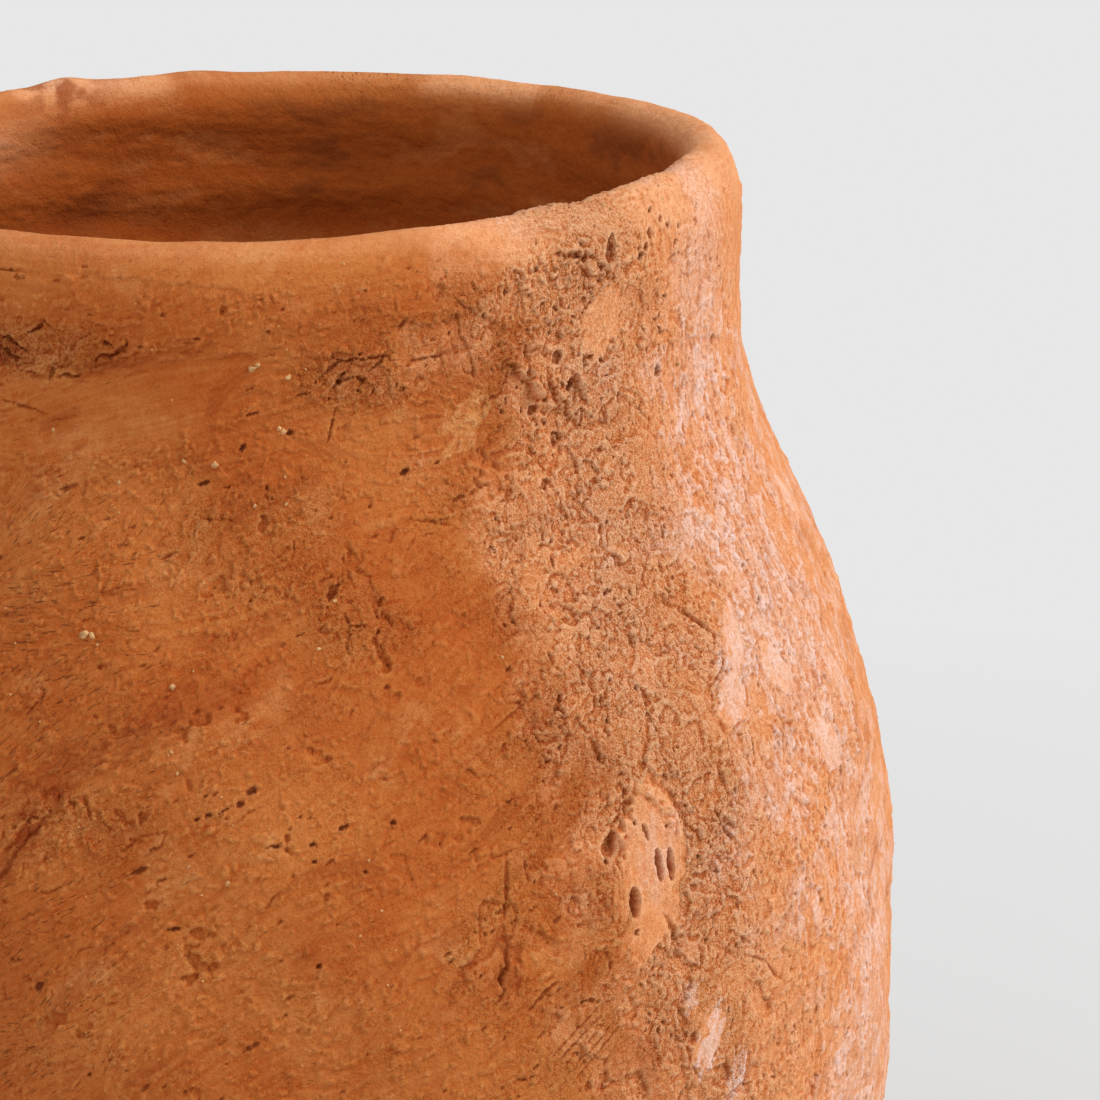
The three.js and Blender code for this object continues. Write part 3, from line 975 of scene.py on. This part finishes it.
def mark_lip_chip(skin, rng):
    """The chip out of the lip, and the torn ledge, the pits and the plate's edge beside it."""
    crack(skin, rng, [(38.8, 293.2), (40.6, 292.6), (42.6, 292.0), (44.8, 290.8)],
          1.0, 0.6, 0.4, jag=0.35, lift=0.6)
    ridge(skin, rng, [(40.0, 294.6), (42.4, 294.0), (44.6, 293.0)], 1.8, 0.5)
    ridge(skin, rng, [(45.4, 289.4), (47.0, 289.0), (49.4, 289.8), (51.0, 291.0)], 1.3, 0.4)
    hole(skin, rng, 46.9, 292.2, 5.4, 2.3, 66, 1.5, stain=0.25, slant=0.5)
    for angle, height, size in ((53.4, 292.6, 1.5), (55.4, 294.4, 1.1), (56.4, 293.0, 1.0),
                                (52.2, 290.8, 1.2), (51.4, 289.4, 1.1), (54.4, 296.2, 0.9),
                                (58.4, 292.2, 1.0), (57.4, 290.0, 0.8)):
        pit(skin, rng, angle, height, size * 1.3, size, 55, 0.75, 0.6)
    scarp(skin, rng, [(58.6, 285.4), (54, 286.8), (50, 287.2), (46, 288.0), (45, 290.0)], 0.4, 3.0)
    crack(skin, rng, [(41.9, 277.6), (42.3, 280.4), (43.3, 283.4), (45.3, 285.2)],
          0.55, 0.45, 0.4, jag=0.08)
    smear(skin, rng, 45.6, 280.6, 15, 9, 55, rise=0.05, wipe=0.75)
    pit(skin, rng, 54.3, 270.2, 2.4, 2.0, 40, 0.95, 0.45)


def mark_smoothed_right(skin, rng):
    """Smoothed and plastered places low on the right, with their raised edges."""
    for angle, height, length, width, tilt in ((53.6, 227.6, 13, 5, 80), (51.5, 218.8, 11, 8.5, 20),
                                               (78.4, 241, 22, 5, -65), (64.5, 205, 16, 7, -50),
                                               (43.5, 167, 12, 7, 60),
                                               (59, 221, 12, 6, -50), (70, 214, 14, 6, -60)):
        smear(skin, rng, angle, height, length, width, tilt, rise=0.22, wipe=0.8)
        stain(skin, rng, "pale", angle, height, length * 0.8, width * 0.8, tilt, 0.22)
    scarp(skin, rng, [(48.0, 221.6), (51.3, 224.6), (51.7, 228.4), (49.4, 232.0), (46.3, 235.4)],
          0.7, 2.5)
    crack(skin, rng, [(47.0, 236.0), (49.6, 232.8), (51.2, 229.4), (50.6, 227.0)],
          1.1, 0.6, 0.35, jag=0.2)
    scarp(skin, rng, [(53.5, 233.5), (51.8, 228.5), (51.6, 224.6), (49.1, 222.1), (48.4, 217.9),
                      (49.6, 215.2), (53.0, 214.7), (54.5, 215.8)], 0.5, 2.0, jag=0.2)
    stain(skin, rng, "pale", 51.6, 220.4, 13, 8, 60, 0.25)
    ridge(skin, rng, [(57.8, 254.4), (58.5, 248.6), (60.1, 243.6)], 1.3, 0.5)
    crack(skin, rng, [(58.7, 254.6), (59.5, 248.8), (61.0, 244.2)], 0.9, 0.5, 0.3)
    ridge(skin, rng, [(60.4, 252.2), (61.4, 248.0), (62.6, 244.4)], 1.1, 0.35)


def mark_plaster(skin, rng):
    """Smooth plaster at the lower right, with an oval hole, twin slots and a slanting notch in it."""
    smear(skin, rng, 38.8, 198.0, 29, 15, 86, rise=0.25, wipe=0.85)
    smear(skin, rng, 37.8, 187.5, 13, 10, 60, rise=0.22, wipe=0.8)
    stain(skin, rng, "pale", 39.2, 197, 24, 12, 86, 0.12)
    hole(skin, rng, 36.7, 192.6, 5.3, 2.1, 91, 2.2)
    hole(skin, rng, 39.4, 197.4, 5.8, 1.5, 96, 1.5)
    hole(skin, rng, 40.6, 197.0, 5.8, 1.4, 92, 1.5)
    crack(skin, rng, [(34.6, 200.6), (35.8, 203.8), (37.2, 207.6), (38.2, 211.0)],
          2.6, 0.9, 0.15, jag=0.12, lift=0.35)
    ridge(skin, rng, [(37.8, 211.2), (39.8, 208.6), (41.2, 205.0), (41.8, 201.4)],
          1.5, 0.55, jag=0.12)
    hole(skin, rng, 35.2, 202.4, 4.6, 2.4, 62, 1.1, stain=0.1, slant=0.4)
    stain(skin, rng, "beige", 35.1, 202.6, 4, 2.2, 60, 0.5)
    hole(skin, rng, 38.5, 203.0, 3.0, 0.8, 105, 0.7)
    for angle, height, size in ((34.6, 199.9, 0.8), (36.7, 187.6, 1.0), (62.2, 194.7, 1.3),
                                (66.3, 199.4, 1.6), (37.6, 204.8, 0.6), (40.6, 203.2, 0.6)):
        hole(skin, rng, angle, height, size * 1.3, size, 70, 0.8, stain=0.6)
    crack(skin, rng, [(39.4, 211.6), (41.4, 208.0), (42.8, 203.0), (43.0, 198.0)],
          1.6, 0.5, 0.1, jag=0.1)
    ridge(skin, rng, [(43.6, 206.0), (44.4, 201.0), (44.6, 195.0)], 1.6, 0.35, jag=0.1)
    crack(skin, rng, [(46.0, 204.6), (47.0, 200.0), (48.6, 196.0)], 1.1, 0.55, 0.3, jag=0.15)


def mark_low_middle(skin, rng):
    """The groove, torn cracks and folded clay low in the middle."""
    crack(skin, rng, [(26.0, 203.9), (25.8, 198.8), (25.5, 193.2)], 0.9, 0.4, 0.35, jag=0.05)
    crack(skin, rng, [(25.5, 190.4), (25.2, 187.2), (24.6, 184.8), (24.9, 182.4), (23.7, 180.4)],
          1.1, 0.7, 0.7, jag=0.4, lift=0.3)
    stain(skin, rng, "red", 25.2, 185.4, 12, 6, 80, 0.6)
    crack(skin, rng, [(26.6, 178.6), (27.4, 180.2), (29.4, 182.6)],
          0.8, 0.5, 0.75, jag=0.3, lift=0.2)
    crack(skin, rng, [(30.6, 177.8), (31.6, 178.5), (33.2, 177.9)],
          0.8, 0.5, 0.8, jag=0.3, lift=0.2)
    scarp(skin, rng, [(37.8, 181.4), (35.4, 185.8), (34.4, 189.4), (33.1, 195.5), (33.6, 200.4)],
          0.45, 4.0, jag=0.1)
    ridge(skin, rng, [(31.6, 198.6), (32.4, 192.0), (33.6, 186.0), (33.2, 181.4)], 1.6, 0.3)
    crack(skin, rng, [(39.4, 189.6), (40.6, 186.0), (41.0, 181.6)], 1.0, 0.5, 0.4)
    crack(skin, rng, [(47.7, 178.9), (50.4, 176.0), (53.3, 169.8)], 0.5, 0.4, 0.4, jag=0.08)
    for angle, height, length, width, tilt in ((43.3, 166, 13, 6, 65), (46.6, 158, 12, 5, 75),
                                               (41.6, 174, 7, 4, 50)):
        stain(skin, rng, "pale", angle, height, length, width, tilt, 0.5)
    for k in range(5):
        crack(skin, rng, [(28.2 + 0.5 * k, 169.8 - 1.2 * k), (33.2 + 0.4 * k, 177.7 - 1.2 * k)],
              0.5, 0.3, 0.3, jag=0.1)


def photographed_marks(skin):
    """The single marks that stand out on the side that the photograph shows."""
    rng = np.random.default_rng(17)
    for mark in (mark_lip_seam, mark_torn_left, mark_long_smear, mark_red_streaks,
                 mark_leaf_print, mark_dark_grains, mark_torn_middle, mark_angled_tear,
                 mark_torn_lump, mark_lip_chip, mark_smoothed_right, mark_plaster,
                 mark_low_middle):
        mark(skin, rng)


def finish_base(skin):
    """The underside stays flat where it rests, and the drain hole's wall is nearly plain."""
    under = (skin.height < 0.01)[:, None]
    skin.relief = np.where(under, np.minimum(0.3 * skin.relief, 0), skin.relief)
    drain = (skin.radius < DRAIN_RADIUS + 1.5)[:, None]
    skin.relief = np.where(drain, 0.2 * skin.relief, skin.relief)


def hollows(skin):
    """Soot and painted shade in small hollows, and a tone that is lighter on high points than in low
    ones.

    Where the grid's cells are wide, the blur spans more of the wall and leaves higher bumps, so
    gain weakens both there.
    """
    cell = np.gradient(skin.angle) * math.radians(BELLY_RADIUS)
    gain = np.sqrt(FINE_STEP / cell)[None, :].astype(np.float32)
    gritty = skin.masks["gritty"]
    height = skin.relief - blurred(skin.relief, 4)
    # painted shade, with some soot: low places darker than the blurred wall around them
    soot_and_painted_shade = 0.12 * gain * smoothstep(0.06, 0.30, -height)
    skin.masks["dark"] = np.clip(skin.masks["dark"] + soot_and_painted_shade, 0, 1)
    # painted highlight and shade, partly wear: high points lighter, low points darker
    skin.tone += (0.24 + 0.06 * gritty) * gain * np.clip(height / 0.20, -1, 1)
    rim = np.clip((skin.relief - blurred(skin.relief, 2)) / 0.14, -1, 1)
    skin.tone += (0.06 + 0.40 * gritty) * gain * rim


def shape_clay():
    skin = Skin()
    rough = roughness_map(skin)
    lay_clay(skin, rough)
    roll_lip(skin)
    scatter(skin, rough)
    photographed_marks(skin)
    line_inside(skin)
    finish_base(skin)
    hollows(skin)
    return skin


# ---------------------------------------------------------------- meshes
def grid_mesh(name, points, uv_across, uv_along):
    """A closed mesh from a grid of points, in metres, joined to itself both ways."""
    rows, columns = points.shape[1:]
    i, j = np.mgrid[0:rows, 0:columns]
    i2, j2 = (i + 1) % rows, (j + 1) % columns
    corners = np.stack([i * columns + j, i * columns + j2, i2 * columns + j2, i2 * columns + j], -1)
    mesh = bpy.data.meshes.new(name)
    mesh.vertices.add(rows * columns)
    mesh.vertices.foreach_set("co", points.reshape(3, -1).T.ravel())
    mesh.loops.add(rows * columns * 4)
    mesh.loops.foreach_set("vertex_index", corners.ravel().astype(np.int32))
    mesh.polygons.add(rows * columns)
    mesh.polygons.foreach_set("loop_start", np.arange(rows * columns, dtype=np.int32) * 4)
    mesh.polygons.foreach_set("use_smooth", np.ones(rows * columns, bool))
    across = np.r_[uv_across, 1.0]
    along = np.r_[uv_along, 1.0]
    uv = np.empty((rows, columns, 4, 2), np.float32)
    uv[..., 0, 0] = uv[..., 3, 0] = across[:-1][None, :]
    uv[..., 1, 0] = uv[..., 2, 0] = across[1:][None, :]
    uv[..., 0, 1] = uv[..., 1, 1] = along[:-1][:, None]
    uv[..., 2, 1] = uv[..., 3, 1] = along[1:][:, None]
    layer = mesh.uv_layers.new(name="OFBake")
    layer.data.foreach_set("uv", (0.002 + 0.996 * uv).ravel())
    mesh.update(calc_edges=True)
    return mesh


def add_piece(name, mesh):
    piece = bpy.data.objects.new(name, mesh)
    bpy.context.scene.collection.objects.link(piece)
    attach(piece, "root")
    return piece


def jar_piece(skin):
    points = skin.surface()[0] * MM
    low, high = np.array(cad_low)[:, None, None], np.array(cad_high)[:, None, None]
    points = np.clip(points, low, high).astype(np.float32)
    points[2][skin.height < 0.01] = np.maximum(points[2][skin.height < 0.01], 0)
    mesh = grid_mesh("jar_clay", points, (skin.angle - FINE_ANGLES[0]) / 360,
                     skin.along / skin.total)
    along, side, which = skin.drag_frame
    fields = {**skin.masks, "tone": skin.tone,
              "drag_along": along, "drag_side": side, "drag_which": which}
    for name, values in fields.items():
        layer = mesh.attributes.new("clay_" + name, "FLOAT", "POINT")
        layer.data.foreach_set("value", values.astype(np.float32).ravel())
    mesh.materials.append(clay_material())
    jar = add_piece("jar_clay", mesh)
    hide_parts("jar")


# grits that the photograph shows: (angle, height, radius)
SINGLE_GRITS = (
    (-8.55, 238.4, 0.74), (-7.85, 238.3, 0.58), (-7.3, 237.0, 0.26), (7, 279.7, 0.62),
    (7.4, 280.1, 0.4), (10.4, 277.9, 0.42), (9.8, 268.5, 0.5), (9.4, 268.9, 0.36),
    (0.1, 263.8, 0.4), (3.1, 263.4, 0.45), (13.6, 242.9, 0.3), (56.8, 297, 0.3),
    (57.9, 270, 0.42), (0.8, 205, 0.26), (14.6, 205, 0.26), (28.1, 232.7, 0.3),
    (47.8, 298.7, 0.32), (48.4, 298.0, 0.26), (11.9, 236, 0.28), (-13, 268.2, 0.3))
SCATTERED_GRITS = 430


def all_grits(rng):
    """The place and the radius of every grit."""
    grits = list(SINGLE_GRITS)
    for _ in range(SCATTERED_GRITS):
        shown = rng.uniform() < SHARE_IN_VIEW
        angle = rng.uniform(*FINE_ANGLES) if shown else rng.uniform(-180, 180)
        grits.append((angle, rng.uniform(12, 297), 0.13 + rng.exponential(0.055)))
    return grits


def unit_ball():
    """The points and the triangles of a ball with a radius of 1."""
    ball = bpy.data.meshes.new("ball")
    shape = bmesh.new()
    bmesh.ops.create_icosphere(shape, subdivisions=3, radius=1)
    shape.to_mesh(ball)
    shape.free()
    points = np.empty(len(ball.vertices) * 3)
    ball.vertices.foreach_get("co", points)
    faces = np.array([tuple(face.vertices) for face in ball.polygons])
    bpy.data.meshes.remove(ball)
    return points.reshape(-1, 3), faces


def lumpy_stone(ball, number, size, out, rng):
    """One grit about its own middle, turned at random about the way that the wall faces."""
    side = np.cross(out, (0, 0, 1))
    side = side / np.linalg.norm(side)
    up = np.cross(side, out)
    lumpy = 1 + 0.42 * noise(ball.T + number * 3.1, 0.8, 71, 2)
    stretch = rng.uniform(0.7, 1.25, 3) * size
    turn = rng.uniform(0, math.pi)
    first = math.cos(turn) * side + math.sin(turn) * up
    second = math.cos(turn) * up - math.sin(turn) * side
    return ball * lumpy[:, None] * stretch @ np.stack([first, second, out])


def grit_piece(skin):
    """Pale mineral grains, half sunk in the clay: small lumpy stones in one mesh."""
    rng = np.random.default_rng(19)
    grits = all_grits(rng)
    ball, faces = unit_ball()
    points, normals = skin.surface()
    coords = []
    for number, (angle, height, size) in enumerate(grits):
        row, column = skin.cell(angle, height)
        out = normals[:, row, column]
        stone = lumpy_stone(ball, number, size, out, rng)
        coords.append(points[:, row, column] - 0.18 * size * out + stone)
    coords = np.concatenate(coords) * MM
    mesh = bpy.data.meshes.new("pale_grit")
    firsts = np.arange(len(grits))[:, None, None] * len(ball)
    all_faces = (faces[None] + firsts).reshape(-1, 3)
    mesh.from_pydata(np.clip(coords, cad_low, cad_high).tolist(), [], all_faces.tolist())
    mesh.polygons.foreach_set("use_smooth", np.ones(len(all_faces), bool))
    mesh.materials.append(grit_material())
    add_piece("pale_grit", mesh)


# ---------------------------------------------------------------- materials
def opaque(colour):
    return (*colour, 1)


class Nodes:
    """A small helper that adds nodes to a material and links them."""

    def __init__(self, name):
        self.material = bpy.data.materials.new(name)
        self.material.use_nodes = True
        self.tree = self.material.node_tree
        self.shader = self.tree.nodes["Principled BSDF"]

    def add(self, kind, inputs=(), **settings):
        node = self.tree.nodes.new("ShaderNode" + kind)
        for key, value in settings.items():
            setattr(node, key, value)
        for key, value in dict(inputs).items():
            self.feed(node.inputs[key], value)
        return node

    def feed(self, socket, value):
        if isinstance(value, bpy.types.NodeSocket):
            self.tree.links.new(value, socket)
        else:
            socket.default_value = value

    def mask(self, name):
        return self.add("Attribute", attribute_name="clay_" + name).outputs["Fac"]

    def math(self, operation, a, b):
        return self.add("Math", {0: a, 1: b}, operation=operation).outputs[0]

    def blend(self, factor, a, b, blend_type="MIX"):
        node = self.add("Mix", data_type="RGBA", blend_type=blend_type)
        self.feed(node.inputs["Factor"], factor)
        self.feed(node.inputs["A"], a)
        self.feed(node.inputs["B"], b)
        return node.outputs["Result"]

    def steps(self, value, low, high):
        """0 to 1 while value goes from low to high."""
        return self.add("MapRange", {"Value": value, "From Min": low, "From Max": high},
                        interpolation_type="SMOOTHSTEP").outputs["Result"]

    def scaled(self, value, middle, size):
        """How far value is from middle, times size."""
        return self.math("MULTIPLY", self.math("SUBTRACT", value, middle), size)

    def linear(self, value, slope, start):
        """value times slope, on top of start."""
        return self.math("ADD", self.math("MULTIPLY", value, slope), start)

    def ramp(self, factor, *stops):
        node = self.add("ValToRGB", {"Fac": factor})
        while len(node.color_ramp.elements) < len(stops):
            node.color_ramp.elements.new(0.5)
        for element, (place, colour) in zip(node.color_ramp.elements, stops):
            element.position = place
            element.color = opaque(colour)
        return node.outputs["Color"]

    def noise(self, scale, detail=4.0, rough=0.55):
        where = self.add("TexCoord").outputs["Object"]
        return self.add("TexNoise", {"Vector": where, "Scale": scale, "Detail": detail,
                                     "Roughness": rough}).outputs["Fac"]


def srgb(red, green, blue):
    """A colour given as 0 to 255 on screen, as linear light."""
    return tuple((c / 255 / 12.92) if c <= 10 else ((c / 255 + 0.055) / 1.055) ** 2.4
                 for c in (red, green, blue))


SMOOTH_CLAY = srgb(200, 115, 54)
DEEP_CLAY = srgb(187, 97, 40)
RAW_CLAY = srgb(234, 155, 100)
# pale pink clay, and the colour of painted light on the right side, on raised flecks and inside the
# mouth
PINK_CLAY_AND_PAINTED_LIGHT = srgb(239, 186, 158)
INNER_CLAY = srgb(176, 87, 29)
RED_STAIN = srgb(160, 72, 26)
BEIGE_CLAY = srgb(214, 140, 80)
# dark stains and straw dashes, and painted shade in pits, holes, grooves and hollows
DARK_STAIN_AND_SHADE = srgb(120, 56, 24)
# what the clay's colour is multiplied by, from its deepest hollows (0) to its highest crests (1)
# its dark end is partly painted shade in the hollows, and its pale end partly painted highlight on
# the crests
SHADES = ((0.0, (0.60, 0.31, 0.15)), (0.25, (0.84, 0.62, 0.43)), (0.5, (0.97, 0.97, 0.97)),
          (0.75, (1.09, 1.31, 1.64)), (1.0, (1.20, 1.60, 2.20)))
BUMP_HEIGHT = 0.00032         # metres


def clay_material():
    n = Nodes("terracotta")
    drift = n.noise(45, 5, 0.6)
    fine = n.noise(700, 3, 0.65)
    sand = n.noise(3200, 2, 0.7)
    coarse = n.noise(1500, 1, 0.5)
    gritty = n.mask("gritty")

    # short dark dashes along each drag, where straw was pulled through the clay
    drag = n.add("CombineXYZ", {"X": n.math("MULTIPLY", n.mask("drag_along"), 0.42),
                                "Y": n.math("MULTIPLY", n.mask("drag_side"), 2.6),
                                "Z": n.mask("drag_which")}).outputs[0]
    straw = n.add("TexNoise", {"Vector": drag, "Scale": 1.0, "Detail": 2.0,
                               "Roughness": 0.6}).outputs["Fac"]
    least = n.math("SUBTRACT", 0.76, n.math("MULTIPLY", n.mask("straw"), 0.165))
    dash = n.math("MULTIPLY", n.math("SUBTRACT", straw, least), 9.0)
    dash = n.add("Clamp", {"Value": dash}).outputs[0]

    smooth = n.blend(n.steps(drift, 0.35, 0.65), opaque(DEEP_CLAY), opaque(SMOOTH_CLAY))
    pale = n.mask("pale")
    colour = n.blend(n.steps(pale, 0.0, 0.5), smooth, opaque(RAW_CLAY))
    colour = n.blend(n.steps(pale, 0.5, 1.0), colour, opaque(PINK_CLAY_AND_PAINTED_LIGHT))
    colour = n.blend(n.mask("inner"), colour, opaque(INNER_CLAY))
    colour = n.blend(n.mask("beige"), colour, opaque(BEIGE_CLAY))
    colour = n.blend(n.mask("red"), colour, opaque(RED_STAIN))
    grains = n.math("ADD", n.scaled(sand, 0.5, 4.2), n.scaled(coarse, 0.5, 0.9))
    sandy = n.linear(gritty, 0.9, 0.3)
    grain = n.math("ADD", n.scaled(fine, 0.5, 0.8), n.math("MULTIPLY", grains, sandy))
    shade = n.math("ADD", n.mask("tone"), grain)
    lift = n.ramp(n.linear(shade, 0.5, 0.5), *SHADES)
    colour = n.blend(1.0, colour, lift, "MULTIPLY")
    # the dark mask: dark grains and burnt clay, and painted shade in pits, holes, grooves and hollows
    colour = n.blend(n.mask("dark"), colour, opaque(DARK_STAIN_AND_SHADE))
    colour = n.blend(n.math("MULTIPLY", dash, 0.75), colour, opaque(DARK_STAIN_AND_SHADE))
    n.feed(n.shader.inputs["Base Color"], colour)
    n.feed(n.shader.inputs["Roughness"], n.ramp(fine, (0.2, (0.82,) * 3), (0.8, (0.96,) * 3)))
    n.shader.inputs["Specular IOR Level"].default_value = 0.15
    both = n.math("ADD", sand, n.math("MULTIPLY", coarse, 0.8))
    rough_sand = n.math("MULTIPLY", both, n.linear(gritty, 1.9, 0.3))
    height = n.math("ADD", n.math("MULTIPLY", fine, 0.8), rough_sand)
    height = n.math("SUBTRACT", height, n.math("MULTIPLY", dash, 0.5))
    bump = n.add("Bump", {"Height": height, "Strength": 1.0, "Distance": BUMP_HEIGHT})
    n.feed(n.shader.inputs["Normal"], bump.outputs["Normal"])
    return n.material


def grit_material():
    n = Nodes("pale_grit")
    cloud = n.noise(900, 3, 0.6)
    n.feed(n.shader.inputs["Base Color"],
           n.ramp(cloud, (0.3, srgb(178, 122, 70)), (0.65, srgb(226, 178, 118))))
    n.shader.inputs["Roughness"].default_value = 0.75
    bump = n.add("Bump", {"Height": n.noise(3200, 2, 0.6), "Strength": 0.6, "Distance": 0.0001})
    n.feed(n.shader.inputs["Normal"], bump.outputs["Normal"])
    return n.material


# ---------------------------------------------------------------- studio
CAMERA_DISTANCE = 0.75        # metres from the point that the camera looks at
CAMERA_PITCH = 14.39          # degrees below level
CAMERA_TARGET = (0.0573, 0, 0.2261)
SENSOR_WIDTH = 36             # millimetres
LENS = 136.9                  # millimetres
LAMP_TARGET = (0, 0, 0.2)
WORLD_STRENGTH = 0.385
FLOOR_HALF = 8                # metres
FLOOR_DROP = 0.0005           # keeps the floor just clear of the jar's flat base
SHADOW_REACH = (0.30, 0.80)   # the floor turns even between these distances from the jar's middle
BACKGROUND = srgb(231, 231, 231)


def set_camera():
    camera = bpy.data.objects.new("camera", bpy.data.cameras.new("camera"))
    bpy.context.scene.collection.objects.link(camera)
    pitch = math.radians(CAMERA_PITCH)
    back = Vector((0, -math.cos(pitch), math.sin(pitch)))
    camera.location = Vector(CAMERA_TARGET) + back * CAMERA_DISTANCE
    camera.rotation_mode = "QUATERNION"
    camera.rotation_quaternion = (-back).to_track_quat("-Z", "Y")
    camera.data.sensor_width = SENSOR_WIDTH
    camera.data.lens = LENS
    camera.data.clip_start = 0.05
    bpy.context.scene.camera = camera


def add_softbox(name, azimuth, elevation, distance, size, power, colour):
    """A square lamp that looks at the jar's middle from a direction."""
    lamp = bpy.data.objects.new(name, bpy.data.lights.new(name, "AREA"))
    bpy.context.scene.collection.objects.link(lamp)
    a, e = math.radians(azimuth), math.radians(elevation)
    back = Vector((math.sin(a) * math.cos(e), -math.cos(a) * math.cos(e), math.sin(e)))
    lamp.location = Vector(LAMP_TARGET) + back * distance
    lamp.rotation_mode = "QUATERNION"
    lamp.rotation_quaternion = (-back).to_track_quat("-Z", "Y")
    lamp.data.size = size
    lamp.data.energy = power
    lamp.data.color = colour
    lamp.visible_camera = False


def set_world(strength):
    world = bpy.data.worlds.new("studio")
    bpy.context.scene.world = world
    world.use_nodes = True
    tree = world.node_tree
    light = tree.nodes["Background"]
    light.inputs["Color"].default_value = (1, 1, 1, 1)
    light.inputs["Strength"].default_value = strength
    seen = tree.nodes.new("ShaderNodeBackground")
    seen.inputs["Color"].default_value = opaque(BACKGROUND)
    path = tree.nodes.new("ShaderNodeLightPath")
    mix = tree.nodes.new("ShaderNodeMixShader")
    tree.links.new(path.outputs["Is Camera Ray"], mix.inputs[0])
    tree.links.new(light.outputs[0], mix.inputs[1])
    tree.links.new(seen.outputs[0], mix.inputs[2])
    tree.links.new(mix.outputs[0], tree.nodes["World Output"].inputs["Surface"])


def add_floor():
    """A pale floor that keeps the jar's shadow near it and is even farther away."""
    half = FLOOR_HALF
    mesh = bpy.data.meshes.new("floor")
    corners = [(-half, -half, 0), (half, -half, 0), (half, half, 0), (-half, half, 0)]
    mesh.from_pydata(corners, [], [(0, 1, 2, 3)])
    n = Nodes("floor_paint")
    n.shader.inputs["Base Color"].default_value = opaque(BACKGROUND)
    n.shader.inputs["Roughness"].default_value = 0.9
    even = n.add("Emission", {"Color": opaque(BACKGROUND), "Strength": 1.0})
    place = n.add("NewGeometry").outputs["Position"]
    distance = n.add("VectorMath", {0: place}, operation="LENGTH").outputs["Value"]
    near, far = SHADOW_REACH
    share = n.add("MapRange", {"Value": distance, "From Min": near, "From Max": far,
                               "To Min": 0.35, "To Max": 1.0}).outputs["Result"]
    path = n.add("LightPath")
    mix = n.add("MixShader")
    n.feed(mix.inputs[0], n.math("MULTIPLY", path.outputs["Is Camera Ray"], share))
    n.feed(mix.inputs[1], n.shader.outputs[0])
    n.feed(mix.inputs[2], even.outputs[0])
    n.feed(n.tree.nodes["Material Output"].inputs["Surface"], mix.outputs[0])
    mesh.materials.append(n.material)
    floor = bpy.data.objects.new("floor", mesh)
    bpy.context.scene.collection.objects.link(floor)
    floor.location.z = -FLOOR_DROP
    floor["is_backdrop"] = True


set_camera()
bpy.context.scene.view_settings.view_transform = "Standard"
set_world(WORLD_STRENGTH)
add_softbox("key", azimuth=80, elevation=40, distance=2.6, size=0.9, power=47.5,
            colour=(1, 0.985, 0.97))
add_softbox("fill", azimuth=-35, elevation=38, distance=2.8, size=1.8, power=20,
            colour=(1, 0.98, 0.96))
add_floor()
clay = shape_clay()
jar_piece(clay)
grit_piece(clay)
